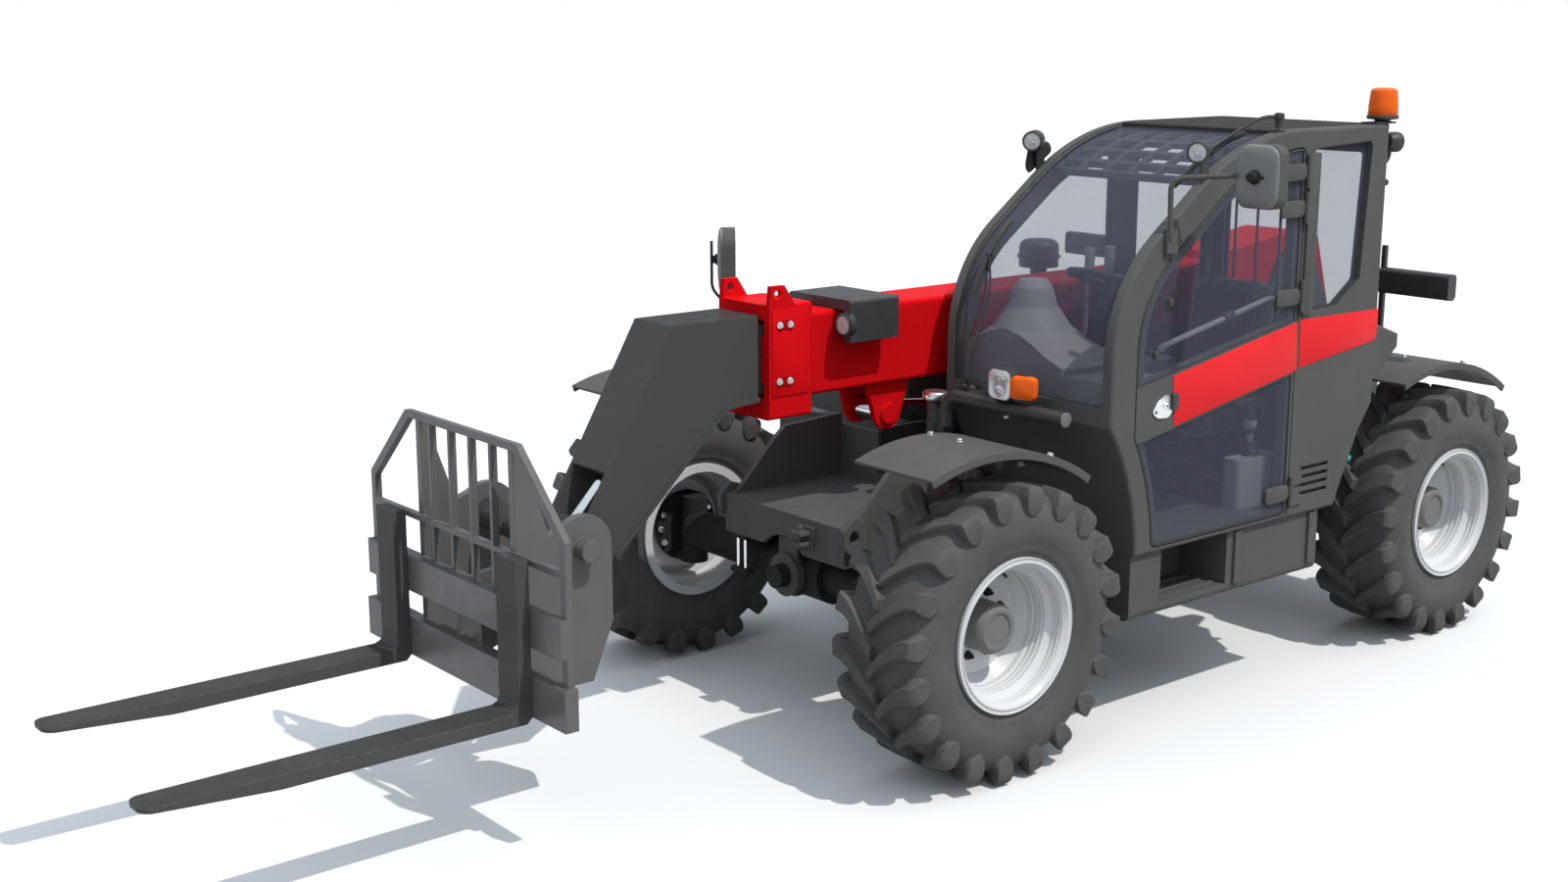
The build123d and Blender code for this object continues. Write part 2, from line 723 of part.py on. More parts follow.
# Cab
def cab_prism(front, slope, top, rear, y0, y1):
    """The cab's side outline with its edges drawn in, from y0 to y1."""
    lean = radians(BROW_SLOPE)
    x = CAB_FRONT - front
    z = ROOF_Z - top
    brow = BROW_Z + front * tan(lean) - slope / cos(lean)
    crown = x - (z - brow) / tan(lean)
    brow_turn = (radians(90.0) - lean) / 2
    crown_turn = lean / 2
    crown_way = radians(90.0) - crown_turn
    brow_r = SCREEN_R - (front + slope) / 2
    crown_r = ROOF_R - (slope + top) / 2
    brow_t = brow_r * tan(brow_turn)
    crown_t = crown_r * tan(crown_turn)
    brow_sag = brow_r / cos(brow_turn) - brow_r
    crown_sag = crown_r / cos(crown_turn) - crown_r
    a0 = (x, brow - brow_t)
    a1 = (x - brow_sag * cos(brow_turn), brow - brow_sag * sin(brow_turn))
    a2 = (x - brow_t * cos(lean), brow + brow_t * sin(lean))
    b0 = (crown + crown_t * cos(lean), z - crown_t * sin(lean))
    b1 = (crown - crown_sag * cos(crown_way), z - crown_sag * sin(crown_way))
    b2 = (crown - crown_t, z)
    outline = Polyline((x, SILL_Z), a0) + ThreePointArc(a0, a1, a2) + Polyline(a2, b0) + ThreePointArc(b0, b1, b2)
    far = CAB_REAR - 200.0
    outline = outline + Polyline(b2, (far, z), (far, SILL_Z), (x, SILL_Z))
    body = extrude(side_plane(y1) * make_face(outline), amount=y1 - y0)
    return body - block(far - 5, rear, y0 - 5, y1 + 5, SILL_Z - 5, ROOF_Z + 5)


def front_arch(gap):
    """The room over the front wheel, cut from the cab."""
    return rod_y(ARCH_X, ARCH_Z, ARCH_R + gap, -1500, 1500)


def rear_arch():
    """The room over the rear wheel, cut from the cab."""
    back = REAR_AXLE_X - 50.0
    outline = [
        (WING_X, WING_Z), REAR_KNEE, (REAR_FOOT_X + 7, SILL_Z - 5), (back, SILL_Z - 5), (back, WING_Z),
    ]
    return side_plate(outline, -1500, 1500)


def above_stripe(lift):
    """The room above a line that rises to the rear like the stripe."""
    x0 = CAB_REAR - 100.0
    x1 = CAB_FRONT + 100.0
    z0 = STRIPE_Z + lift + STRIPE_RISE * (CAB_FRONT - x0)
    z1 = STRIPE_Z + lift + STRIPE_RISE * (CAB_FRONT - x1)
    return side_plate([(x0, z0), (x1, z1), (x1, 2500), (x0, 2500)], -1500, 1500)


def door_body(gap, y0, y1):
    body = cab_prism(FRONT_POST + gap, PILLAR + gap, HEADER + gap, DOOR_REAR_X + gap, y0, y1)
    body = body - front_arch(DOOR_ARCH + gap)
    body = body & block(DOOR_REAR_X, CAB_FRONT, y0, y1, DOOR_Z0 + gap, ROOF_Z)
    return round_corners(body, Axis.Y, 40 - gap)


def upper_window(gap, y0, y1):
    band = DOOR_BAND + gap
    body = cab_prism(FRONT_POST + band, PILLAR + band, HEADER + band, DOOR_REAR_X + band, y0, y1)
    return round_corners(body & above_stripe(gap), Axis.Y, WINDOW_R)


def lower_window(gap, y0, y1):
    band = DOOR_BAND - 8.0 + gap
    body = cab_prism(FRONT_POST + band, PILLAR, HEADER, DOOR_REAR_X + band, y0, y1)
    body = body - front_arch(DOOR_ARCH + band) - above_stripe(-STRIPE_H - gap)
    body = body & block(DOOR_REAR_X, CAB_FRONT, y0, y1, DOOR_Z0 + DOOR_BAND - 10 + gap, ROOF_Z)
    return round_corners(body, Axis.Y, WINDOW_R)


def quarter_window(gap, y0, y1):
    outline = [
        (DOOR_REAR_X - 50, 2145), (CAB_REAR + 110, 2160), (CAB_REAR + 145, 1610), (CAB_REAR + 279, 1520),
        (DOOR_REAR_X - 50, 1512),
    ]
    return side_plate(inset(outline, gap), y0, y1, WINDOW_R)


def right_windows(gap, y0, y1):
    band = PILLAR + gap
    body = cab_prism(band, band, band, CAB_REAR + 90 + gap, y0, y1)
    body = body & block(CAB_REAR, CAB_FRONT, y0, y1, 1330 + gap, ROOF_Z)
    post = block(DOOR_REAR_X + 25 - gap, DOOR_REAR_X + 170 + gap, y0, y1, SILL_Z, ROOF_Z)
    return round_corners(body - post, Axis.Y, WINDOW_R)


def hinge_leaves():
    """The wall's halves of the door hinges."""
    halves = Part()
    for z in HINGE_HEIGHTS:
        for z0 in (z - HINGE_H / 2 - 0.4 - HINGE_LEAF, z + HINGE_H / 2 + 0.4):
            z1 = z0 + HINGE_LEAF
            barrel = rod_z(DOOR_REAR_X, HINGE_Y, HINGE_R, z0, z1)
            leaf = block(DOOR_REAR_X - 75, DOOR_REAR_X - 2, CAB_LEFT - 1, CAB_LEFT + 8, z0, z1)
            halves = halves + barrel + leaf
    return halves


def cab_side(y0, y1):
    """The outer outline of a side wall as a solid plate."""
    body = cab_prism(0, 0, 0, CAB_REAR, y0, y1)
    return body - front_arch(0) - rear_arch()


def cab_left_wall():
    y0 = INSIDE_Y1
    y1 = CAB_LEFT
    body = cab_side(y0, y1)
    wing = [
        (CAB_REAR + 5, WING_Z + WING_LIP + 58), (WING_X, WING_Z + WING_LIP), (WING_X, WING_Z),
        (CAB_REAR + 5, WING_Z - 120),
    ]
    body = body + (side_plate(wing, y0, y1) - rear_arch())
    body = fillet(body.faces().sort_by(Axis.Y)[-1].edges(), EDGE_R)
    body = body - door_body(0, y0 - 5, y1 + 5) - quarter_window(0, y0 - 5, y1 + 5)
    for row in range(4):
        z = 770.0 + 34.0 * row
        body = body - block(REAR_FOOT_X + 60, REAR_FOOT_X + 240, y1 - 22, y1 + 5, z, z + 16)
    return body + hinge_leaves()


def cab_right_wall():
    y0 = CAB_RIGHT
    y1 = INSIDE_Y0
    body = fillet(cab_side(y0, y1).faces().sort_by(Axis.Y)[0].edges(), EDGE_R)
    return body - right_windows(0, y0 - 5, y1 + 5)


def cab_rear_wall():
    inner_x = CAB_REAR + WALL
    knee_x, knee_z = REAR_KNEE
    outline = [
        (CAB_REAR, ROOF_Z - WALL), (CAB_REAR, WING_Z - 205), (knee_x, knee_z), (REAR_FOOT_X + 7, SILL_Z),
        (REAR_FOOT_X + 7 + WALL, SILL_Z), (knee_x + WALL + 5, knee_z + 22), (inner_x, WING_Z - 180),
        (inner_x, ROOF_Z - WALL),
    ]
    body = side_plate(outline, INSIDE_Y0, INSIDE_Y1)
    window = rear_window(0, CAB_REAR - 5, inner_x + 5)
    return body - window


def rear_window(gap, x0, x1):
    y0 = INSIDE_Y0 + WALL + gap
    y1 = INSIDE_Y1 - WALL - gap
    z0 = REAR_WINDOW_Z0 + gap
    z1 = REAR_WINDOW_Z1 - gap
    return front_plate([(y0, z0), (y1, z0), (y1, z1), (y0, z1)], x0, x1, WINDOW_R)


def cab_shell(outer, inner, x0, x1, z0, z1, side_gap):
    """A skin between two drawn-in cab outlines, between the side walls."""
    y0 = INSIDE_Y0 + side_gap
    y1 = INSIDE_Y1 - side_gap
    skin = cab_prism(outer, outer, outer, CAB_REAR, y0, y1) - front_arch(outer)
    hollow = cab_prism(inner, inner, inner, CAB_REAR - 50, y0, y1) - front_arch(inner)
    return (skin - hollow) & block(x0, x1, y0, y1, z0, z1)


def cab_front_wall():
    return cab_shell(0, WALL, CAB_FRONT - 350, CAB_FRONT + 5, SILL_Z, SCREEN_Z0, 0)


def cab_roof():
    return cab_shell(0, WALL, CAB_REAR, ROOF_FRONT_X, ROOF_Z - 250, ROOF_Z + 5, 0)


def windscreen():
    inner = SCREEN_IN + GLASS
    return cab_shell(SCREEN_IN, inner, ROOF_FRONT_X + GLASS_GAP, CAB_FRONT, SCREEN_Z0 + GLASS_GAP, ROOF_Z, GLASS_GAP)


def roof_guard():
    x0 = ROOF_FRONT_X + GLASS_GAP
    sheet = cab_shell(GUARD_IN, GUARD_IN + 22, x0, GUARD_FRONT_X, ROOF_Z - 400, ROOF_Z, GLASS_GAP)
    edges = [GUARD_FRONT_X] + [GUARD_FRONT_X + shift for shift in GUARD_ROWS] + [x0]
    lane = (INSIDE_Y1 - INSIDE_Y0) / GUARD_LANES
    half = GUARD_BAR / 2
    for front, back in zip(edges, edges[1:]):
        for i in range(GUARD_LANES):
            y = INSIDE_Y0 + lane * i
            sheet = sheet - block(back + half, front - half, y + half, y + lane - half, ROOF_Z - 400, ROOF_Z)
    return sheet


def cab_floor():
    x0 = REAR_FOOT_X + 7 + WALL
    x1 = ARCH_X - ARCH_R - WALL - 5.0
    return block(x0, x1, INSIDE_Y0, INSIDE_Y1, SILL_Z, FLOOR_Z)


def cab_glass():
    left = CAB_LEFT - WALL / 2
    right = CAB_RIGHT + WALL / 2
    rear = CAB_REAR + WALL / 2
    half = GLASS / 2
    panes = [Part() + quarter_window(GLASS_GAP, left - half, left + half)]
    panes = panes + [Part() + pane for pane in right_windows(GLASS_GAP, right - half, right + half).solids()]
    panes.append(Part() + rear_window(GLASS_GAP, rear - half, rear + half))
    return Compound(children=panes)


# Door
def door_frame():
    y0 = INSIDE_Y1
    y1 = CAB_LEFT
    body = door_body(DOOR_GAP, y0, y1)
    body = body - upper_window(0, y0 - 5, y1 + 5) - lower_window(0, y0 - 5, y1 + 5)
    for seat in door_panes(0, y1 - GLASS_IN - GLASS - GLASS_GAP, y1 + 5):
        body = body - seat
    half = HINGE_H / 2
    for z in HINGE_HEIGHTS:
        strap = block(DOOR_REAR_X + 2, DOOR_REAR_X + 130, CAB_LEFT - 1, CAB_LEFT + 9, z - half, z + half)
        body = body + strap + rod_z(DOOR_REAR_X, HINGE_Y, HINGE_R, z - half, z + half)
    return body


def door_panes(gap, y0, y1):
    """The room of the two panes that lie on the door's frame, above and below the stripe."""
    rim = DOOR_GAP + DOOR_RIM + gap
    sheet = door_body(rim, y0, y1)
    sheet = sheet & block(DOOR_REAR_X + DOOR_GAP + DOOR_REAR_RIM + gap, CAB_FRONT, y0, y1, SILL_Z, ROOF_Z)
    upper = sheet & above_stripe(gap - DOOR_RIM)
    lower = sheet - above_stripe(DOOR_RIM - STRIPE_H - gap)
    return upper, lower


def door_glass():
    outer = CAB_LEFT - GLASS_IN
    upper, lower = door_panes(GLASS_GAP, outer - GLASS, outer)
    return Compound(children=[Part() + upper, Part() + lower])


# Inside the cab
def seat():
    x = CAB_REAR + 290.0
    base = block(x + 80, x + 440, SEAT_Y - 180, SEAT_Y + 180, FLOOR_Z + SEAT_GAP, 1010)
    cushion = block(x + 40, x + 560, SEAT_Y - 235, SEAT_Y + 235, 1000, 1120)
    back = [(x + 60, 1060), (x - 10, 1600), (x + 90, 1615), (x + 190, 1110), (x + 190, 1060)]
    back = round_edges(side_plate(back, SEAT_Y - 215, SEAT_Y + 215), Axis.Y, 24)
    return round_edges(base, Axis.Z, 30) + round_edges(cushion, Axis.Z, 60) + back


def steering():
    x = CAB_FRONT - 285.0
    wheel_x = CAB_FRONT - 560.0
    foot = FLOOR_Z + SEAT_GAP
    top = (wheel_x, STEER_Y, 1590)
    column = rod((x, STEER_Y, FLOOR_Z - 60), top, 42) - block(x - 400, x + 400, 0, 1200, 0, foot)
    plate = block(x - 60, x + 60, STEER_Y - 60, STEER_Y + 60, foot, foot + 25)
    tilt = Plane(origin=top, z_dir=(wheel_x - x, 0, 1590 - FLOOR_Z + 60))
    ring = tilt * (Pos(0, 0, 40) * Torus(STEER_R, 14))
    spoke = tilt * (Pos(0, 0, 36) * Box(2 * STEER_R, 34, 10))
    cap = tilt * (Pos(0, 0, 20) * Cylinder(38, 60))
    return column + plate + ring + spoke + cap


def dashboard():
    """The dash shelf and the bell shaped hood over the steering column."""
    front = CAB_FRONT - WALL - FACE_GAP
    shelf = block(front - 285, front, INSIDE_Y0 + 10, INSIDE_Y1 - 10, 1228, 1345)
    bell = [
        (0, 1300), (330, 1300), (330, 1370), (260, 1400), (150, 1480), (95, 1560), (75, 1630), (55, 1660), (0, 1665),
    ]
    plane = Plane(origin=(CAB_FRONT - 195, DASH_Y, 0), x_dir=(1, 0, 0), z_dir=(0, -1, 0))
    hood = revolve(plane * flat_face(bell), axis=Axis((CAB_FRONT - 195, DASH_Y, 0), (0, 0, 1)))
    room = SCREEN_IN + GLASS + 12.0
    hood = hood & cab_prism(WALL + FACE_GAP, room, room, CAB_REAR, INSIDE_Y0 + 10, INSIDE_Y1 - 10)
    gap = rod((CAB_FRONT - 285, STEER_Y, FLOOR_Z - 60), (CAB_FRONT - 560, STEER_Y, 1590), 48)
    return shelf + hood - gap


def side_consoles():
    """The lever console on the right and the joystick console by the door."""
    y = INSIDE_Y0 + 60.0
    x = CAB_FRONT - 640.0
    right = block(x - 560, x, INSIDE_Y0 + 12, y + 60, FLOOR_Z + SEAT_GAP, 1230)
    right = round_edges(right, Axis.Z, 20)
    for shift in (-20.0, -140.0):
        lever = rod((x + shift - 10, y, 1220), (x + shift - 30, y, 1620), 9)
        knob = rod((x + shift - 30, y, 1610), (x + shift - 36, y, 1725), 20)
        right = right + lever + knob
    x = DOOR_REAR_X - 28.0
    left = block(x, x + 240, INSIDE_Y1 - 120, INSIDE_Y1 - 35, FLOOR_Z + SEAT_GAP, 939)
    left = round_edges(left, Axis.Z, 20)
    left = left + rod((x + 120, INSIDE_Y1 - 78, 930), (x + 130, INSIDE_Y1 - 78, 1060), 12)
    left = left + Pos(x + 131, INSIDE_Y1 - 78, 1070) * Sphere(28)
    return [Part() + right, Part() + left]


# Fenders, tank and lamps
def fender(axle_x, side):
    x = axle_x + FENDER_SHIFT
    z = FENDER_TOP - FENDER_R
    y0 = side * FENDER_Y0
    y1 = side * FENDER_Y1
    lip = side * (FENDER_Y1 - FENDER_T)
    reach = FENDER_R * 2.0
    wedge = [(x, z)]
    for angle in (FENDER_FIRST, 90.0, FENDER_LAST):
        wedge.append((x + reach * cos(radians(angle)), z + reach * sin(radians(angle))))
    ring = rod_y(x, z, FENDER_R, y0, y1) - rod_y(x, z, FENDER_R - FENDER_T, y0 - 5 * side, lip)
    ring = ring - rod_y(x, z, FENDER_R - FENDER_LIP, y0 - 5 * side, y1 + 5 * side)
    return ring & side_plate(wedge, -1500, 1500)


def front_fenders():
    pieces = []
    x = NOSE_BACK_X
    under = rod_y(FRONT_AXLE_X + FENDER_SHIFT, FENDER_TOP - FENDER_R, FENDER_R - 2, -1500, 1500)
    for side in (1, -1):
        post = block(x, x + 60, side * (NOSE_HALF + SEAT_GAP), side * (FENDER_Y0 + 10), 1015, 1040)
        arm = block(x, x + 130, side * (FENDER_Y0 - 10), side * (FENDER_Y0 + 30), 1015, 1150) & under
        pieces.append(Part() + fender(FRONT_AXLE_X, side) + post + arm)
    return Compound(children=pieces)


def rear_fenders():
    pieces = []
    for side in (1, -1):
        y0 = side * (TOWER_IN + TOWER_T + SEAT_GAP)
        stay = block(REAR_AXLE_X - 30, REAR_AXLE_X + 30, y0, side * (FENDER_Y0 + 10), FENDER_TOP - 42, FENDER_TOP - 12)
        pieces.append(Part() + fender(REAR_AXLE_X, side) + stay)
    return Compound(children=pieces)


def side_tank():
    body = block(TANK_X0, TANK_X1, TANK_Y0, TANK_Y1, TANK_Z0, SILL_Z - FACE_GAP)
    low = body.edges().filter_by(Axis.X).sort_by(Axis.Z)[:2]
    body = fillet(low, 30)
    step = block(STEP_X0, STEP_X1, STEP_Y, TANK_Y1 + 10, TANK_Z0 + STEP_T, SILL_Z + 5)
    body = body - step
    for row in range(3):
        y = STEP_Y + 50.0 + 60.0 * row
        body = body + block(STEP_X0 + 20, STEP_X1 - 20, y, y + 20, TANK_Z0 + STEP_T - 1, TANK_Z0 + STEP_T + 6)
    for x in (TANK_X0 + 30.0, STEP_X0 - 80.0):
        body = body + block(x, x + 40, TANK_Y1 - 1, TANK_Y1 + 12, TANK_Z0 + 40, SILL_Z - 8)
    return body


def lamp_bar():
    x = BAR_LAMP_X
    z = BAR_LAMP_Z
    bar = tube_path([(x, BAR_LAMP_Y0, z - 120), (x, BAR_LAMP_Y0, z), (x, BAR_LAMP_Y1, z)], 62, BAR_LAMP_R)
    foot = block(CAB_FRONT + SEAT_GAP, x, BAR_LAMP_Y0 + 70, BAR_LAMP_Y0 + 120, z - 22, z + 18)
    post = rod_z(x, HEADLAMP_Y, 13, z, HEADLAMP_Z - HEADLAMP_H / 2 - SEAT_GAP)
    return bar + foot + post


def headlamp():
    x = BAR_LAMP_X
    half = HEADLAMP_H / 2
    y0 = HEADLAMP_Y - HEADLAMP_W / 2
    y1 = HEADLAMP_Y + HEADLAMP_W / 2
    shell = block(x - HEADLAMP_D / 2, x + HEADLAMP_D / 2, y0, y1, HEADLAMP_Z - half, HEADLAMP_Z + half)
    shell = round_edges(shell, Axis.X, 28)
    blink = block(x - 34, x + 30, y1 - 20, y1 + 55, HEADLAMP_Z - half + 12, HEADLAMP_Z + half - 16)
    return shell + round_edges(blink, Axis.X, 18)


def roof_lamps():
    pieces = []
    x = CAB_FRONT - 450.0
    z = ROOF_Z - 60.0
    cab = cab_prism(-SEAT_GAP, -SEAT_GAP, -SEAT_GAP, CAB_REAR, 0, 1200)
    for y in (CAB_RIGHT + 12.0, CAB_LEFT - 22.0):
        foot = [(x - 95, 1900), (x - 25, 1900), (x - 10, z), (x - 40, z)]
        can = rod((x - 42, y - 24, z + 5), (x + 22, y + 13, z), 30)
        bowl = rod((x - 18, y - 10, z + 3), (x + 30, y + 18, z - 1), 38)
        pieces.append(Part() + (side_plate(foot, y - 5, y + 5) - cab) + can + bowl)
    return Compound(children=pieces)


def beacon():
    x = CAB_REAR - 8.0
    y = CAB_LEFT - 45.0
    z = ROOF_Z + SEAT_GAP
    shelf = block(x - 40, x + 90, y - 40, y + 40, z, z + 8)
    stem = rod_z(x, y, 30, z, z + 16)
    collar = rod_z(x, y, BEACON_R + 3, z + 14, z + 30)
    dome = Pos(x, y, z + 30 + BEACON_H / 2) * Cone(BEACON_R, BEACON_R - 9, BEACON_H)
    return shelf + stem + collar + fillet(dome.faces().sort_by(Axis.Z)[-1].edges(), 14)


def left_mirror():
    x = CAB_FRONT - 245.0
    foot_y = CAB_LEFT + SEAT_GAP
    head_x = x - 210.0
    y0 = MIRROR_REACH - MIRROR_W
    foot = block(x - 60, x - 5, foot_y, foot_y + 16, 1805, 1890)
    arm = tube_path(
        [(x - 20, foot_y + 14, 1860), (x - 12, foot_y + 14, 2076), (head_x, y0 + 40, 2090)], 45, TUBE_R)
    head = block(head_x - MIRROR_T / 2, head_x + MIRROR_T / 2, y0, MIRROR_REACH, 1975, 1975 + MIRROR_H)
    return Part() + foot + arm + round_edges(head, Axis.X, 42)


def right_mirror():
    """The mirror in front of the engine cover, its head turned to the driver."""
    turn = 37.4
    width = 190.0
    thick = 60.0
    reach = width / 2 * cos(radians(turn)) + thick / 2 * sin(radians(turn))
    x = ENGINE_X1 + 73.0
    y = reach - MIRROR_REACH
    foot_x = ENGINE_X1 + SEAT_GAP
    foot = block(foot_x, foot_x + 40, ENGINE_Y0 + 30, ENGINE_Y0 + 90, 1090, 1150)
    arm = tube_path(
        [(foot_x + 30, ENGINE_Y0 + 60, 1120), (x + 20, y - 10, 1250), (x + 20, y - 10, 1600)], 60, TUBE_R + 1)
    head = Pos(x, y, 1572) * Rot(0, 0, -turn) * round_edges(Box(thick, width, 285), Axis.X, 80)
    return Part() + foot + arm + head


def rear_lamps():
    pieces = []
    x = REAR_AXLE_X + FENDER_SHIFT
    for side in (1, -1):
        post = block(x - 10, x + 10, side * 740, side * 760, FENDER_TOP + SEAT_GAP, 1675)
        head = block(x - 35, x + 25, side * 740, side * FENDER_Y1, 1470, 1580)
        pieces.append(Part() + post + round_edges(head, Axis.Y, 20))
    return Compound(children=pieces)


# Boom
def boom_pads(x0, inner, outer):
    """Sliding blocks between the two boom tubes, from inner to outer gap."""
    x1 = x0 + PAD
    side_in = INNER_HALF + inner
    side_out = BOOM_HALF - BOOM_WALL - outer
    low_out = BOOM_Z0 + BOOM_WALL + outer
    high_out = BOOM_Z1 - BOOM_WALL - outer
    pads = block(x0, x1, -70, 70, low_out, INNER_Z0 - inner) + block(x0, x1, -70, 70, INNER_Z1 + inner, high_out)
    for side in (1, -1):
        pads = pads + block(x0, x1, side * side_in, side * side_out, INNER_Z0 + 40, INNER_Z1 - 40)
    return pads


def boom_outer():
    tube = block(PIVOT_X - 40, COLLAR_X1, -BOOM_HALF, BOOM_HALF, BOOM_Z0, BOOM_Z1)
    body = round_edges(tube, Axis.X, BOOM_BEND_R)
    hump = [
        (PIVOT_X - 290, 1330), (PIVOT_X - 190, 1640), (PIVOT_X - 30, 1676), (PIVOT_X + 500, 1610),
    ]
    cheek = hump + [
        (PIVOT_X + 760, BOOM_Z1 - 10), (PIVOT_X + 760, BOOM_Z0 + 10), (PIVOT_X - 60, BOOM_Z0), (PIVOT_X - 200, 1290),
    ]
    cap = hump + [(PIVOT_X + 500, 1560), (PIVOT_X - 40, 1560), (PIVOT_X - 200, 1300)]
    for side in (1, -1):
        body = body + side_plate(cheek, side * (BOOM_HALF - 20), side * (TOWER_IN - 6))
    body = body + side_plate(cap, -BOOM_HALF, BOOM_HALF)
    w = BOOM_WALL
    body = body - block(PIVOT_X + 120, COLLAR_X1 + 5, w - BOOM_HALF, BOOM_HALF - w, BOOM_Z0 + w, BOOM_Z1 - w)
    body = body - rod_y(PIVOT_X, PIVOT_Z, PIVOT_PIN_R + RUN_GAP, -200, 200)
    x, z = LIFT_EYE
    lug = [(x - 110, BOOM_Z0 + 5), (x - 60, z - 30), (x - 30, z - 60), (x + 30, z - 60), (x + 60, z - 30), (x + 110, BOOM_Z0 + 5)]
    for side in (1, -1):
        body = body + side_plate(lug, side * 70, side * 95) + rod_y(x, z, 40, side * 90, side * 108)
    return body + boom_pads(COLLAR_X1 - PAD, PAD_GAP, 0)


def boom_collar():
    body = block(COLLAR_X0, COLLAR_X1, -COLLAR_HALF, COLLAR_HALF, COLLAR_Z0, COLLAR_Z1)
    body = round_edges(body, Axis.X, 14)
    g = SEAT_GAP
    sleeve = block(COLLAR_X0 - 5, COLLAR_X1 + 5, -BOOM_HALF - g, BOOM_HALF + g, BOOM_Z0 - g, BOOM_Z1 + g)
    body = body - round_edges(sleeve, Axis.X, BOOM_BEND_R)
    ear = [
        (LIFTING_X - 90, COLLAR_Z1 - 16), (LIFTING_X - 32, LIFTING_Z + 32), (LIFTING_X + 32, LIFTING_Z + 32),
        (LIFTING_X + 40, COLLAR_Z1 - 16),
    ]
    for side in (1, -1):
        body = body + side_plate(ear, side * (COLLAR_HALF - 20), side * COLLAR_HALF)
        for z in (COLLAR_Z0 + 120.0, COLLAR_Z0 + 260.0):
            pocket = block(COLLAR_X0 + 60, COLLAR_X0 + 105, side * (COLLAR_HALF - 8), side * (COLLAR_HALF + 5), z, z + 80)
            body = body - pocket
    return body - rod_y(LIFTING_X, LIFTING_Z, LIFTING_R, -200, 200)


def boom_lamp_bracket():
    x0 = COLLAR_X0 - 375.0
    x1 = COLLAR_X0 - 132.0
    z = BOOM_Z1 + SEAT_GAP
    outer = BOOM_HALF + 85.0
    far = BOOM_HALF + 12.0
    strap = block(x0, x1, -far, outer, z, z + 40)
    hood = block(x0, x1, outer - 40, outer, BOOM_Z1 - 118, z + 30)
    skirt = block(x0, x1, -far, -BOOM_HALF - SEAT_GAP, BOOM_Z1 - 90, z + 20)
    body = strap + hood + skirt
    edges = body.edges().filter_by(Axis.X).sort_by(Axis.Z)[-2:]
    return fillet(edges, 14) + rod_x(outer - 20, BOOM_Z1 - 50, 46, x1 - 10, x1 + 14)


def boom_inner():
    w = INNER_WALL
    tube = block(INNER_REAR_X, NECK_X + 20, -INNER_HALF, INNER_HALF, INNER_Z0, INNER_Z1)
    bore = block(INNER_REAR_X - 5, NECK_X + 25, w - INNER_HALF, INNER_HALF - w, INNER_Z0 + w, INNER_Z1 - w)
    neck = [
        (NECK_X, 1580), (NECK_X + 381, 1580), (HEAD_X - 152, HEAD_Z + 34), (HEAD_X - 262, HEAD_Z - 134),
        (NECK_X + 146, 1250), (NECK_X, 1262),
    ]
    arm = [
        (HEAD_X - 235, HEAD_Z + 177), (HEAD_X - 152, HEAD_Z + 34), (HEAD_X, HEAD_Z + 85), (HEAD_X + 70, HEAD_Z),
        (HEAD_X, HEAD_Z - 85), (HEAD_X - 285, HEAD_Z - 140), (HEAD_X - 365, HEAD_Z - 50),
    ]
    low = [
        (NECK_X, 1262), (NECK_X + 146, 1250), (HEAD_X - 262, HEAD_Z - 134), (HEAD_X - 262, HEAD_Z - 116),
        (NECK_X + 150, 1268), (NECK_X, 1280),
    ]
    room = NECK_HALF - NECK_WALL
    head = side_plate(neck, -NECK_HALF, NECK_HALF) - side_plate(inset(neck, NECK_WALL), -room, room)
    head = head + side_plate(low, -NECK_HALF - NECK_FLANGE, NECK_HALF + NECK_FLANGE)
    for side in (1, -1):
        head = head + side_plate(arm, side * room, side * NECK_HALF)
    slot = [
        (HEAD_X - 250, HEAD_Z - 180), (HEAD_X - 250, HEAD_Z - 90), (HEAD_X - 395, HEAD_Z + 50),
        (HEAD_X - 425, HEAD_Z - 10),
    ]
    head = head - rod_y(HEAD_X, HEAD_Z, HEAD_ROOM_R, -room, room) - side_plate(slot, -room, room)
    end = EAR_IN - 6.0
    head = head + rod_y(HEAD_X, HEAD_Z, HEAD_TUBE_R, -end, end)
    head = head - rod_y(HEAD_X, HEAD_Z, HEAD_PIN_R + RUN_GAP, -400, 400)
    body = tube + head - bore
    tx, tz = TILT_BASE
    for side in (1, -1):
        body = body + rod_y(tx, tz, 30, side * (TILT_HALF + SEAT_GAP), side * NECK_HALF)
    return body + boom_pads(INNER_REAR_X, 0, PAD_GAP)


def cylinder_pair(base, eye, barrel_r, rod_r, out, spare, half, base_r, eye_r, eye_half):
    """A barrel with an eye at its base, and a rod with an eye at its end."""
    way = Vector(eye[0] - base[0], 0, eye[1] - base[1])
    unit = way.normalized()
    length = way.length

    def at(distance):
        return (base[0] + unit.X * distance, 0, base[1] + unit.Z * distance)

    lip = length - out
    floor = base_r * 1.5
    barrel = rod(at(base_r * 0.6), at(lip), barrel_r) + rod(at(lip - 45), at(lip - 5), barrel_r + 6)
    barrel = barrel + rod_y(base[0], base[1], base_r, -half, half)
    barrel = barrel - rod(at(floor), at(lip + 5), rod_r + ROD_GAP)
    piston = rod(at(floor + spare), at(length - eye_r * 0.5), rod_r)
    piston = piston + rod_y(eye[0], eye[1], eye_r, -eye_half, eye_half)
    return barrel, piston


def lift_cylinder():
    barrel, piston = cylinder_pair(
        LIFT_BASE, LIFT_EYE, LIFT_R, LIFT_ROD_R, LIFT_ROD_OUT, LIFT_SPARE, LIFT_HALF, LIFT_BASE_R, LIFT_EYE_R,
        LIFT_EYE_HALF)
    barrel = barrel - rod_y(LIFT_BASE[0], LIFT_BASE[1], LIFT_PIN_R + RUN_GAP, -LIFT_HALF - 5, LIFT_HALF + 5)
    return barrel, piston


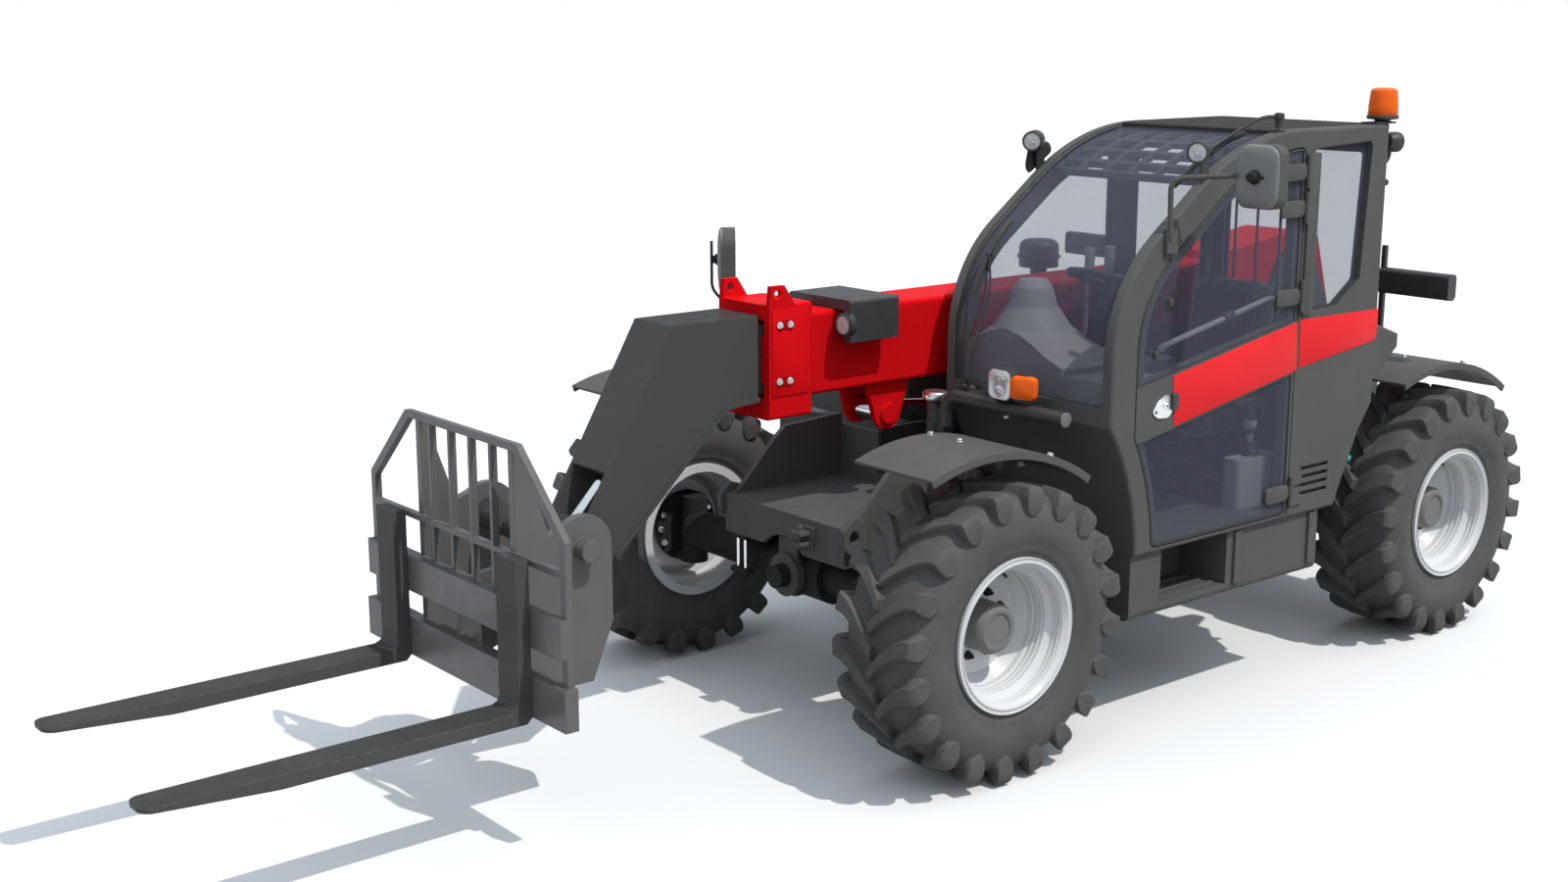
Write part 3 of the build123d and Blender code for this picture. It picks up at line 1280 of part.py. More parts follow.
def tilt_cylinder():
    return cylinder_pair(
        TILT_BASE, TILT_EYE, TILT_R, TILT_ROD_R, TILT_ROD_OUT, TILT_SPARE, TILT_HALF, TILT_BASE_R, TILT_EYE_R,
        TILT_EYE_R)


# Carriage
def carriage_guard():
    """The load guard above the fork bars."""
    x1 = BAR_X0 + GUARD_T
    rail = GUARD_RAIL
    shoulder = GUARD_SHOULDER
    body = block(BAR_X0, x1, -GUARD_TOP_HALF, GUARD_TOP_HALF, GUARD_TOP - rail, GUARD_TOP)
    body = body + block(BAR_X0, x1, -BAR_HALF + 5, BAR_HALF - 5, 925, 945)
    for side in (1, -1):
        slope = [
            (side * BAR_HALF, shoulder), (side * GUARD_TOP_HALF, GUARD_TOP),
            (side * (GUARD_TOP_HALF - 30), GUARD_TOP - 20), (side * (BAR_HALF - 30), shoulder - 15),
        ]
        body = body + front_plate(slope, BAR_X0, x1)
        body = body + block(BAR_X0, x1, side * (BAR_HALF - 30), side * BAR_HALF, LOWER_BAR_Z1 - 30, shoulder)
    for y in (-200.0, -67.0, 67.0, 200.0):
        body = body + block(BAR_X0, x1, y - 8, y + 8, UPPER_BAR_Z1 - 15, GUARD_TOP - 10)
    return body


def carriage_frame():
    back = BAR_X0 + 10.0
    ear = [
        (HEAD_X - EAR_R, HEAD_Z), (HEAD_X - EAR_R, 640), (HEAD_X - 30, LOWER_BAR_Z0 + 10), (back, LOWER_BAR_Z0 + 10),
        (back, GUARD_TOP - 20), (BAR_X0 - 10, GUARD_TOP - 20), (HEAD_X + 130, HEAD_Z + 70),
        (HEAD_X + 60, HEAD_Z + 95), (HEAD_X, HEAD_Z + 100),
    ]
    x, z = TILT_EYE
    lever = [(x - 50, z - 50), (x - 50, z + 50), (x + 40, z + 80), (back, z + 50), (back, LOWER_BAR_Z1 - 40)]
    wide = BAR_HALF + LOWER_BAR_OUT
    body = block(BAR_X0, BAR_X1, -BAR_HALF, BAR_HALF, UPPER_BAR_Z0, UPPER_BAR_Z1)
    body = body + block(BAR_X0, BAR_X1, -wide, wide, LOWER_BAR_Z0, LOWER_BAR_Z1)
    for side in (1, -1):
        y0 = side * EAR_IN
        y1 = side * (EAR_IN + EAR_T)
        body = body + side_plate(ear, y0, y1) + rod_y(HEAD_X, HEAD_Z, EAR_R, y0, y1)
        y0 = side * TILT_LEVER_IN
        y1 = side * (TILT_LEVER_IN + TILT_LEVER_T)
        body = body + side_plate(lever, y0, y1, 12)
    pin_end = EAR_IN + EAR_T + HEAD_PIN_OUT
    return body + carriage_guard() + rod_y(HEAD_X, HEAD_Z, HEAD_PIN_R, -pin_end, pin_end)


def fork(side):
    x0 = BAR_X1 + SEAT_GAP
    x1 = x0 + SHANK_T
    low = FORK_TOP - FORK_T
    outline = [
        (x0, low + 20), (x0 + 20, low), (TIP_X - FORK_TAPER, low), (TIP_X, FORK_TOP - FORK_TIP_T), (TIP_X, FORK_TOP),
        (x1 + 30, FORK_TOP), (x1 + 9, FORK_TOP + 9), (x1, FORK_TOP + 30), (x1, SHANK_TOP), (x0, SHANK_TOP),
    ]
    body = side_plate(outline, side * FORK_Y - FORK_W / 2, side * FORK_Y + FORK_W / 2)
    tip = body.edges().filter_by(Axis.Z).sort_by(Axis.X)[-2:]
    return fillet(tip, 40)


def make_all():
    lift_barrel, lift_rod = lift_cylinder()
    tilt_barrel, tilt_rod = tilt_cylinder()
    parts = {
        "chassis_frame": chassis_frame(),
        "frame_pins": frame_pins(),
        "counterweight": counterweight(),
        "tow_hitch": tow_hitch(),
        "engine_housing": engine_housing(),
        "engine_block": engine_block(),
        "engine_lid": engine_lid(),
        "air_intake": air_intake(),
        "front_axle": front_axle(),
        "rear_axle": rear_axle(),
        "front_fenders": front_fenders(),
        "rear_fenders": rear_fenders(),
        "side_tank": side_tank(),
        "cab_floor": cab_floor(),
        "cab_left_wall": cab_left_wall(),
        "cab_right_wall": cab_right_wall(),
        "cab_rear_wall": cab_rear_wall(),
        "cab_front_wall": cab_front_wall(),
        "cab_roof": cab_roof(),
        "roof_guard": roof_guard(),
        "windscreen": windscreen(),
        "cab_glass": cab_glass(),
        "door_frame": door_frame(),
        "door_glass": door_glass(),
        "seat": seat(),
        "steering": steering(),
        "cab_consoles": Compound(children=[Part() + dashboard()] + side_consoles()),
        "lamp_bar": lamp_bar(),
        "headlamp": headlamp(),
        "roof_lamps": roof_lamps(),
        "beacon": beacon(),
        "mirrors": Compound(children=[left_mirror(), right_mirror()]),
        "rear_lamps": rear_lamps(),
        "boom_outer": boom_outer(),
        "boom_collar": boom_collar(),
        "boom_lamp_bracket": boom_lamp_bracket(),
        "boom_inner": boom_inner(),
        "lift_barrel": lift_barrel,
        "lift_rod": lift_rod,
        "tilt_barrel": tilt_barrel,
        "tilt_rod": tilt_rod,
        "carriage_frame": carriage_frame(),
        "fork_left": fork(1),
        "fork_right": fork(-1),
    }
    left_tyre = tyre()
    right_tyre = mirrored(left_tyre)
    for end, x in (("front", FRONT_AXLE_X), ("rear", REAR_AXLE_X)):
        carrier = knuckle_left(x)
        parts[f"{end}_left_knuckle"] = carrier
        parts[f"{end}_right_knuckle"] = mirrored(carrier)
        parts[f"{end}_left_tyre"] = Pos(x, WHEEL_Y, AXLE_Z) * left_tyre
        parts[f"{end}_right_tyre"] = Pos(x, -WHEEL_Y, AXLE_Z) * right_tyre
        for name, y in (("left", WHEEL_Y), ("right", -WHEEL_Y)):
            parts[f"{end}_{name}_rim"] = rim(x, y)
            parts[f"{end}_{name}_hub"] = hub(x, y)
    return parts


if __name__ == "__main__":
    os.makedirs("parts", exist_ok=True)
    for name, shape in make_all().items():
        export_step(shape, f"parts/{name}.step")
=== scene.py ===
"""The looks of the telehandler: finishes, fittings, seat cushions, floor, light and camera."""

import math

import bmesh
import bpy
from mathutils import Matrix, Vector


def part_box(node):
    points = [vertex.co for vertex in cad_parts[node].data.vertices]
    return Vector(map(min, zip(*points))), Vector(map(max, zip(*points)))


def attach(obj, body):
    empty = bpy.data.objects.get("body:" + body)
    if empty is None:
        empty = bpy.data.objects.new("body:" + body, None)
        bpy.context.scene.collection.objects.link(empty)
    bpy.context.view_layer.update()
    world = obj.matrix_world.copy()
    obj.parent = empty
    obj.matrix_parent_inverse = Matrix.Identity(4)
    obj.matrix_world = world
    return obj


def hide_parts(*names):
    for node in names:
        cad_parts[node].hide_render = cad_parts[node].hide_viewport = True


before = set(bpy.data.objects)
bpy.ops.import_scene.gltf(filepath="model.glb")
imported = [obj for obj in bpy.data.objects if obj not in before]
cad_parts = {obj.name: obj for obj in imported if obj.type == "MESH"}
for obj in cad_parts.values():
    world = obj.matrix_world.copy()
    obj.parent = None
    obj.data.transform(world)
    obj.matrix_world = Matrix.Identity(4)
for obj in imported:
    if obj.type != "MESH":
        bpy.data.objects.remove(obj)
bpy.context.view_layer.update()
scene = bpy.context.scene
scene.view_settings.view_transform = "Standard"

# Metres. +X runs forward along the boom, +Y to the cab side, +Z up.
# Camera and light
CAMERA_AT = Vector((4.8156, 5.4980, 2.6376))
CAMERA_LOOK = Vector((-0.61598, -0.75737, -0.21671))
CAMERA_LENS = 43.93
SUN_TRAVEL = Vector((0.17, -0.56, -1.0))
SUN_STRENGTH = 2.35
SUN_ANGLE = math.radians(0.7)
SUN_COLOUR = (1.03, 1.0, 0.96)
SKY_COLOUR = (0.88, 0.97, 1.07)
SKY_STRENGTH = 0.95
HORIZON_STRENGTH = 0.36
FLOOR_HALF = 60.0
FLOOR_Z = -0.001
FLOOR_SEEN = 0.82
FLOOR_BOUNCE = 0.26

# Cab side view: the front plane, the brow arc, the slope and the roof arc
CAB_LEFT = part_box("cab_left_wall")[0].y + 0.045
CAB_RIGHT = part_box("cab_right_wall")[0].y
CAB_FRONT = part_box("cab_front_wall")[1].x
CAB_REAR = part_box("cab_rear_wall")[0].x
CAB_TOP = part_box("cab_roof")[1].z
BROW_R = 0.55
ROOF_R = 1.00
BROW_ANGLE = math.radians(53.5)
BROW_CENTRE = (CAB_FRONT - BROW_R, 1.4228)
ROOF_CENTRE = (-1.3375, CAB_TOP - ROOF_R)
SCREEN_INSET = 0.014
SCREEN_FOOT_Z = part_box("windscreen")[0].z
SCREEN_END_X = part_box("windscreen")[0].x

# Wheels
AXLE_FRONT_X = 0.195
AXLE_REAR_X = -2.495
WHEEL_Y = 0.917
WHEEL_R = 0.537
DISC_FACE = -0.016
NUT_CIRCLE = 0.118
NUT_COUNT = 8
RIM_FACE = 0.178
WHEEL_PLACES = (
    ("front_left", AXLE_FRONT_X, 1),
    ("front_right", AXLE_FRONT_X, -1),
    ("rear_left", AXLE_REAR_X, 1),
    ("rear_right", AXLE_REAR_X, -1),
)


# Materials
def nodes_of(name):
    """A new material, its node tree and its shader."""
    material = bpy.data.materials.new(name)
    material.use_nodes = True
    tree = material.node_tree
    return material, tree, tree.nodes["Principled BSDF"]


def add(tree, kind, **settings):
    """One node, with its plain properties or its unlinked inputs set by name."""
    node = tree.nodes.new("ShaderNode" + kind)
    for key, value in settings.items():
        if hasattr(node, key):
            setattr(node, key, value)
        else:
            node.inputs[key.replace("_", " ").title()].default_value = value
    return node


def fix(node, key, value):
    """Sets an unlinked input of a node."""
    node.inputs[key].default_value = value


def link(value, node, key):
    """Links a value to an input of a node."""
    node.id_data.links.new(value, node.inputs[key])


def noise(tree, scale, detail=4.0, stretch=(1.0, 1.0, 1.0)):
    """A noise value over the row frame."""
    place = add(tree, "TexCoord")
    mapping = add(tree, "Mapping")
    fix(mapping, "Scale", stretch)
    texture = add(tree, "TexNoise", scale=scale, detail=detail)
    link(place.outputs["Object"], mapping, "Vector")
    link(mapping.outputs["Vector"], texture, "Vector")
    return texture.outputs["Fac"]


def spread(value, low, high, from_low=0.3, from_high=0.7):
    """A value carried from one range to another."""
    node = add(value.id_data, "MapRange")
    ends = {"From Min": from_low, "From Max": from_high, "To Min": low, "To Max": high}
    for key, number in ends.items():
        fix(node, key, number)
    link(value, node, "Value")
    return node.outputs["Result"]


def multiply(first, second):
    """The product of two values."""
    node = add(first.id_data, "Math", operation="MULTIPLY")
    link(first, node, 0)
    link(second, node, 1)
    return node.outputs["Value"]


def blend_colour(factor, first, second):
    """Two colours mixed by a value; a colour is a triple or a socket."""
    tree = factor.id_data
    node = add(tree, "Mix", data_type="RGBA")
    link(factor, node, "Factor")
    for key, colour in (("A", first), ("B", second)):
        socket = [s for s in node.inputs if s.name == key and s.type == "RGBA"][0]
        if isinstance(colour, tuple):
            socket.default_value = (*colour, 1.0)
        else:
            tree.links.new(colour, socket)
    return [s for s in node.outputs if s.type == "RGBA"][0]


def edge_mask(tree, radius):
    """Near 1 along the edges of a solid, 0 on its open faces."""
    round_normal = add(tree, "Bevel", samples=4, radius=radius)
    plain = add(tree, "NewGeometry")
    dot = add(tree, "VectorMath", operation="DOT_PRODUCT")
    link(round_normal.outputs["Normal"], dot, 0)
    link(plain.outputs["Normal"], dot, 1)
    return spread(dot.outputs["Value"], 1.0, 0.0, 0.75, 0.995)


def upward(tree):
    """1 on faces that look up, 0 on the others."""
    plain = add(tree, "NewGeometry")
    axes = add(tree, "SeparateXYZ")
    link(plain.outputs["Normal"], axes, "Vector")
    return spread(axes.outputs["Z"], 0.0, 1.0, 0.55, 0.95)


def roughen(shader, height, strength, distance, edge=0.0):
    """Bump from a height value, over edges rounded in the shading."""
    tree = shader.id_data
    bump = add(tree, "Bump", strength=strength, distance=distance)
    link(height, bump, "Height")
    if edge:
        rounded = add(tree, "Bevel", samples=4, radius=edge)
        link(rounded.outputs["Normal"], bump, "Normal")
    link(bump.outputs["Normal"], shader, "Normal")


def paint(name, colour, worn, rough=(0.36, 0.52), edge=0.005, gloss=0.045, wear=0.5, top_shade=0.75):
    """Sprayed paint: faint mottle, orange peel, painted shade that darkens top faces, and lightly worn edges.
    """
    material, tree, shader = nodes_of(name)
    mottle = noise(tree, 3.0, 6.0)
    darker = tuple(c * 0.9 for c in colour)
    base = blend_colour(spread(mottle, 0.0, 1.0), darker, colour)
    # Painted shade: faces that look up are darkened to a share of the colour.
    painted_top_shade = multiply(upward(tree), spread(noise(tree, 9.0, 8.0), 0.65, 0.85))
    base = blend_colour(painted_top_shade, base, tuple(c * top_shade for c in colour))
    broken = spread(noise(tree, 34.0, 5.0), 0.0, wear, 0.42, 0.62)
    base = blend_colour(multiply(edge_mask(tree, edge), broken), base, worn)
    link(base, shader, "Base Color")
    link(spread(noise(tree, 14.0, 7.0), *rough), shader, "Roughness")
    fix(shader, "Specular IOR Level", gloss)
    roughen(shader, noise(tree, 420.0, 2.0), 0.05, 0.002, edge)
    return material


def metal(name, colour, rough, stretch=(1.0, 1.0, 1.0), grain=160.0):
    """Bare metal with fine drawn or ground lines."""
    material, tree, shader = nodes_of(name)
    lines = noise(tree, grain, 3.0, stretch)
    stained = blend_colour(spread(noise(tree, 7.0, 6.0), 0.0, 0.5), colour,
                           tuple(c * 0.6 for c in colour))
    link(stained, shader, "Base Color")
    link(spread(lines, *rough), shader, "Roughness")
    fix(shader, "Metallic", 1.0)
    roughen(shader, lines, 0.04, 0.001, 0.002)
    return material


def moulded(name, colour, rough, grain=700.0, depth=0.15, edge=0.003):
    """Moulded plastic or rubber with a fine grain and a dull bloom."""
    material, tree, shader = nodes_of(name)
    bloom = spread(noise(tree, 11.0, 6.0), 0.0, 0.35)
    pale = tuple(min(1.0, c * 1.5 + 0.01) for c in colour)
    base = blend_colour(bloom, colour, pale)
    link(base, shader, "Base Color")
    link(spread(noise(tree, 40.0, 4.0), *rough), shader, "Roughness")
    roughen(shader, noise(tree, grain, 2.0), depth, 0.001, edge)
    return material


def tyre_rubber():
    """Black rubber in patches of two tones, scuffed along the lugs' edges."""
    material, tree, shader = nodes_of("tyre_rubber_look")
    patches = spread(noise(tree, 6.0, 7.0), 0.0, 1.0)
    base = blend_colour(patches, (0.084, 0.083, 0.081), (0.110, 0.108, 0.104))
    scuff = multiply(edge_mask(tree, 0.010), spread(noise(tree, 60.0, 5.0), 0.0, 0.8))
    base = blend_colour(scuff, base, (0.155, 0.152, 0.146))
    link(base, shader, "Base Color")
    link(spread(noise(tree, 25.0, 5.0), 0.58, 0.78), shader, "Roughness")
    fix(shader, "Specular IOR Level", 0.25)
    roughen(shader, noise(tree, 260.0, 4.0), 0.16, 0.002, 0.009)
    return material


def tinted_glass(name, colour, alpha, rough=0.34):
    """A pane: a thin tint on each face, with faint smears."""
    material, tree, shader = nodes_of(name)
    fix(shader, "Base Color", (*colour, 1.0))
    fix(shader, "Alpha", alpha)
    fix(shader, "Specular IOR Level", 0.12)
    smear = spread(noise(tree, 2.5, 1.0, (1.0, 1.0, 0.3)), rough, rough + 0.08)
    link(smear, shader, "Roughness")
    return material


def lens(name, colour, alpha, cells, shade, depth):
    """A moulded lamp lens with a fine prism pattern."""
    material, tree, shader = nodes_of(name)
    place = add(tree, "TexCoord")
    prisms = add(tree, "TexVoronoi", scale=cells)
    link(place.outputs["Object"], prisms, "Vector")
    tone = blend_colour(spread(prisms.outputs["Distance"], 0.0, 1.0, 0.1, 0.6),
                        tuple(c * shade for c in colour), colour)
    link(tone, shader, "Base Color")
    fix(shader, "Alpha", alpha)
    fix(shader, "Specular IOR Level", 0.15)
    link(spread(prisms.outputs["Distance"], 0.08, 0.2), shader, "Roughness")
    roughen(shader, prisms.outputs["Distance"], depth, 0.002)
    return material


def woven(name, colour, pale):
    """Seat cloth: two crossed thread waves and a little sheen."""
    material, tree, shader = nodes_of(name)
    place = add(tree, "TexCoord")
    threads = []
    for direction in ("X", "Y"):
        wave = add(tree, "TexWave", bands_direction=direction, scale=190.0, distortion=1.5)
        link(place.outputs["Object"], wave, "Vector")
        threads.append(wave.outputs["Fac"])
    weave = multiply(*threads)
    base = blend_colour(spread(weave, 0.0, 1.0, 0.1, 0.8), colour, pale)
    worn = spread(noise(tree, 12.0, 6.0), 0.0, 0.5)
    base = blend_colour(worn, base, tuple(c * 0.7 for c in colour))
    link(base, shader, "Base Color")
    link(spread(weave, 0.75, 0.95, 0.0, 1.0), shader, "Roughness")
    fix(shader, "Sheen Weight", 0.25)
    roughen(shader, weave, 0.35, 0.001)
    return material


# Finishes by slot
# Paints darken their top faces by a given share of the colour: painted shade.
LOOKS = {
    "dark_paint": paint("dark_paint_look", (0.122, 0.121, 0.116), (0.19, 0.188, 0.182)),
    "red_paint": paint("red_paint_look", (0.72, 0.0065, 0.010), (0.85, 0.05, 0.05), (0.26, 0.4),
                       gloss=0.006, top_shade=1.0),
    "head_paint": paint("head_paint_look", (0.084, 0.083, 0.081), (0.17, 0.168, 0.164), top_shade=0.35),
    "tool_steel": paint("tool_steel_look", (0.150, 0.145, 0.142), (0.34, 0.33, 0.325), (0.28, 0.46),
                        edge=0.006, gloss=0.3, top_shade=0.6),
    "rim_paint": paint("rim_paint_look", (0.76, 0.765, 0.77), (0.68, 0.68, 0.67), (0.24, 0.4),
                       edge=0.003, gloss=0.3, top_shade=0.85),
    "tyre_rubber": tyre_rubber(),
    "cast": paint("cast_look", (0.036, 0.036, 0.035), (0.11, 0.108, 0.104), (0.36, 0.58)),
    "glass": tinted_glass("glass_look", (0.125, 0.133, 0.19), 0.24),
    "black_plastic": moulded("black_plastic_look", (0.030, 0.030, 0.030), (0.38, 0.55)),
    "cab_trim": moulded("cab_trim_look", (0.30, 0.30, 0.31), (0.5, 0.68), 420.0, 0.3),
    "seat_cloth": woven("seat_cloth_look", (0.030, 0.031, 0.034), (0.062, 0.064, 0.070)),
    "lamp": moulded("lamp_look", (0.16, 0.16, 0.16), (0.35, 0.5)),
    "amber": lens("amber_look", (1.0, 0.150, 0.012), 1.0, 260.0, 0.90, 0.15),
    "steel": metal("steel_look", (0.56, 0.56, 0.55), (0.25, 0.45)),
    "chrome_rod": metal("chrome_rod_look", (0.80, 0.80, 0.81), (0.06, 0.16), (1.0, 1.0, 6.0)),
}
# Each finish with its slot: the slots' own, then those of single pieces
FINISHES = {slot: (look, slot) for slot, look in LOOKS.items()}
FINISHES.update({
    "stripe": (paint("stripe_look", (1.0, 0.036, 0.042), (0.95, 0.08, 0.08), (0.3, 0.42),
                     edge=0.002, gloss=0.04, wear=0.3, top_shade=1.0), "red_paint"),
    # Darker red for plates set over the collar's slots: painted shade of the recesses.
    "slot_shade_red": (paint("slot_shade_look", (0.42, 0.004, 0.006), (0.5, 0.03, 0.03), (0.3, 0.45), gloss=0.03),
                 "red_paint"),
    "hub": (paint("hub_look", (0.220, 0.215, 0.212), (0.28, 0.275, 0.27), (0.3, 0.45)), "cast"),
    # The roof: a darker copy of the dark paint, painted shade on the roof's top.
    "roof": (paint("roof_painted_shade_look", (0.066, 0.065, 0.063), (0.13, 0.128, 0.124), gloss=0.004, top_shade=0.6),
             "dark_paint"),
    "fork": (paint("fork_look", (0.098, 0.096, 0.094), (0.26, 0.255, 0.25), (0.28, 0.44),
                   edge=0.006, gloss=0.03, top_shade=0.4), "tool_steel"),
    "seal": (moulded("seal_look", (0.016, 0.016, 0.016), (0.5, 0.7)), "black_plastic"),
    "mirror_shell": (moulded("mirror_shell_look", (0.185, 0.185, 0.182), (0.4, 0.55)), "black_plastic"),
    "lamp_shell": (LOOKS["black_plastic"], "lamp"),
    "clear_lens": (lens("lens_look", (0.82, 0.84, 0.86), 0.4, 190.0, 0.45, 0.5), "lamp"),
    "red_lens": (lens("red_lens_look", (0.55, 0.012, 0.012), 0.97, 220.0, 0.75, 0.3), "red_paint"),
    "mirror_glass": (metal("mirror_glass_look", (0.86, 0.87, 0.88), (0.02, 0.05)), "chrome_rod"),
    "zinc": (metal("bright_zinc_look", (0.90, 0.90, 0.89), (0.25, 0.4)), "steel"),
    "teal": (moulded("teal_look", (0.02, 0.36, 0.36), (0.4, 0.55)), "black_plastic"),
})
OWN_FINISHES = {"fork_left": "fork", "fork_right": "fork", "cab_roof": "roof", "mirrors": "dark_paint"}
for name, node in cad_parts.items():
    for slot in node.material_slots:
        plain = slot.material.name.split(".")[0]
        finish = "hub" if name.endswith("_hub") else OWN_FINISHES.get(name, plain)
        slot.material = FINISHES[finish][0]

# Mesh helpers
UP = Vector((0.0, 0.0, 1.0))
AHEAD = (1, 0, 0)
LEFTWARD = (0, 1, 0)
REARWARD = (-1, 0, 0)
TIP_R = 1e-6
CORNER_SHARE = 0.48
PATH_STEPS = 6
OUTLINE_STEPS = 5


def frame_along(origin, direction):
    """A place whose Z runs along a direction."""
    turn = Vector(direction).to_track_quat("Z", "Y").to_matrix().to_4x4()
    return Matrix.Translation(Vector(origin)) @ turn


def looking(at, ahead):
    """A place whose Z looks ahead and whose Y stays up."""
    ahead = Vector(ahead).normalized()
    side = UP.cross(ahead).normalized()
    place = Matrix((side, ahead.cross(side), ahead)).transposed().to_4x4()
    place.translation = Vector(at)
    return place


def circle(radius, steps=12):
    """Points (x, y) round the origin."""
    turns = [2.0 * math.pi * k / steps for k in range(steps)]
    return [(radius * math.cos(turn), radius * math.sin(turn)) for turn in turns]


def oblong(width, height, radius, steps=5):
    """A rectangle round the origin with round corners."""
    points = []
    for cx, cy, first in ((1, 1, 0), (-1, 1, 90), (-1, -1, 180), (1, -1, 270)):
        for k in range(steps + 1):
            angle = math.radians(first + 90.0 * k / steps)
            points.append((cx * (width / 2 - radius) + radius * math.cos(angle),
                           cy * (height / 2 - radius) + radius * math.sin(angle)))
    return points


def arc(corner, back, on, steps):
    """A soft corner, from a point back on one side to a point on along the other."""
    shares = [k / steps for k in range(steps + 1)]
    return [corner + back * (1 - t) ** 2 + on * t ** 2 for t in shares]


def smooth_path(points, bend):
    """A route of straight runs with an arc of about the bend radius at each corner."""
    points = [Vector(p) for p in points]
    route = [points[0]]
    for before, corner, after in zip(points, points[1:], points[2:]):
        back = before - corner
        on = after - corner
        reach = min(bend, back.length * CORNER_SHARE, on.length * CORNER_SHARE)
        route += arc(corner, back.normalized() * reach, on.normalized() * reach, PATH_STEPS)
    return route + [points[-1]]


def softened(points, reach):
    """A closed outline with its corners rounded."""
    corners = [Vector((*p, 0.0)) for p in points]
    outline = []
    for before, corner, after in zip(corners[-1:] + corners, corners, corners[1:] + corners[:1]):
        sides = [side.normalized() * min(reach, side.length * CORNER_SHARE)
                 for side in (before - corner, after - corner)]
        outline += [(point.x, point.y) for point in arc(corner, *sides, OUTLINE_STEPS)]
    return outline


def skin(bm, rows, ring=True, loop=False):
    """Quads between rows of points. A row may be a ring, and the rows may close in a loop."""
    count = len(rows[0])
    pairs = list(zip(rows, rows[1:]))
    if loop:
        pairs.append((rows[-1], rows[0]))
    for near, far in pairs:
        for i in range(count if ring else count - 1):
            j = (i + 1) % count
            bm.faces.new((near[i], near[j], far[j], far[i]))


def soften_edges(bm, edges, by):
    bmesh.ops.bevel(bm, geom=list(edges), offset=by, segments=2, affect="EDGES", profile=0.5)


def lathe(bm, profile, place, steps=32, flute=0.0):
    """A solid of revolution from (radius, height) points about the place's Z, fluted if asked."""
    rings = []
    for radius, height in profile:
        if radius < TIP_R:
            rings.append([bm.verts.new(place @ Vector((0.0, 0.0, height)))])
            continue
        ring = []
        for k, (x, y) in enumerate(circle(1.0, steps)):
            out = radius - flute * (k % 2)
            ring.append(bm.verts.new(place @ Vector((out * x, out * y, height))))
        rings.append(ring)
    for low, high in zip(rings, rings[1:]):
        if len(high) > 1:
            skin(bm, (low, high))
            continue
        for k in range(steps):
            bm.faces.new((low[k], high[0], low[(k + 1) % steps]))
    bm.faces.new(rings[0])
    if len(rings[-1]) > 1:
        bm.faces.new(rings[-1][::-1])


def ring_loop(bm, profile, place, steps):
    """A closed ring: a loop of (radius, height) points carried round the place's Z."""
    rows = []
    for x, y in circle(1.0, steps):
        rows.append([bm.verts.new(place @ Vector((r * x, r * y, height))) for r, height in profile])
    skin(bm, rows, loop=True)


def slab(bm, outline, depth, place, round_by=0.0):
    """A flat plate: an outline in the place's XY, from Z 0 to its depth, with a bevelled rim."""
    rows = [[bm.verts.new(place @ Vector((x, y, z))) for x, y in outline] for z in (0.0, depth)]
    bm.faces.new(rows[0][::-1])
    top = bm.faces.new(rows[1])
    skin(bm, rows)
    if round_by:
        soften_edges(bm, top.edges, round_by)


def sweep(bm, route, section, closed=False):
    """A section of (x, y) points carried along a route."""
    count = len(route)
    rows = []
    side = None
    for i, point in enumerate(route):
        if closed:
            along = route[(i + 1) % count] - route[i - 1]
        else:
            along = route[min(i + 1, count - 1)] - route[max(i - 1, 0)]
        along.normalize()
        if side is None:
            side = along.orthogonal().normalized() if abs(along.z) > 0.9 else along.cross(UP)
        side = (side - along * side.dot(along)).normalized()
        up = along.cross(side)
        rows.append([bm.verts.new(point + side * x + up * y) for x, y in section])
    skin(bm, rows, loop=closed)
    if not closed:
        bm.faces.new(rows[0][::-1])
        bm.faces.new(rows[-1])


def stack(bm, outline, levels, place):
    """A closed form through one outline at several (scale, height) levels, with flat ends."""
    rows = []
    for scale, height in levels:
        rows.append([bm.verts.new(place @ Vector((x * scale, y * scale, height))) for x, y in outline])
    skin(bm, rows)
    bm.faces.new(rows[0][::-1])
    bm.faces.new(rows[-1])


def bar(bm, corner, other, round_by):
    """A box between two corners with bevelled edges."""
    low = Vector([min(a, b) for a, b in zip(corner, other)])
    high = Vector([max(a, b) for a, b in zip(corner, other)])
    size = Matrix.Diagonal((*(high - low), 1.0))
    made = bmesh.ops.create_cube(bm, size=1.0, matrix=Matrix.Translation((low + high) / 2) @ size)
    soften_edges(bm, {edge for vert in made["verts"] for edge in vert.link_edges}, round_by)


def hexagon(bm, across, height, place):
    """A bolt head with a washer and a chamfered top."""
    radius = across / math.sqrt(3.0)
    washer = radius * 1.25
    lathe(bm, [(washer, 0.0), (washer, height * 0.18), (radius, height * 0.2)], place, 20)
    lathe(bm, [(radius, height * 0.2), (radius, height * 0.88), (radius * 0.86, height)], place, 6)


def in_scene(name, bm, finish):
    """A mesh object in the scene, with its finish."""
    mesh = bpy.data.meshes.new(name)
    bm.to_mesh(mesh)
    bm.free()
    mesh.materials.append(FINISHES[finish][0])
    made = bpy.data.objects.new(name, mesh)
    scene.collection.objects.link(made)
    return made


def piece(name, bm, finish, body="chassis", sharp=35.0):
    """A finished mesh piece that rides on a body; edges sharper than an angle stay crisp."""
    bmesh.ops.recalc_face_normals(bm, faces=bm.faces)
    limit = math.radians(sharp)
    for face in bm.faces:
        face.smooth = True
    for edge in bm.edges:
        if len(edge.link_faces) == 2 and edge.calc_face_angle() > limit:
            edge.smooth = False
    made = in_scene(name, bm, finish)
    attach(made, body)
    return made


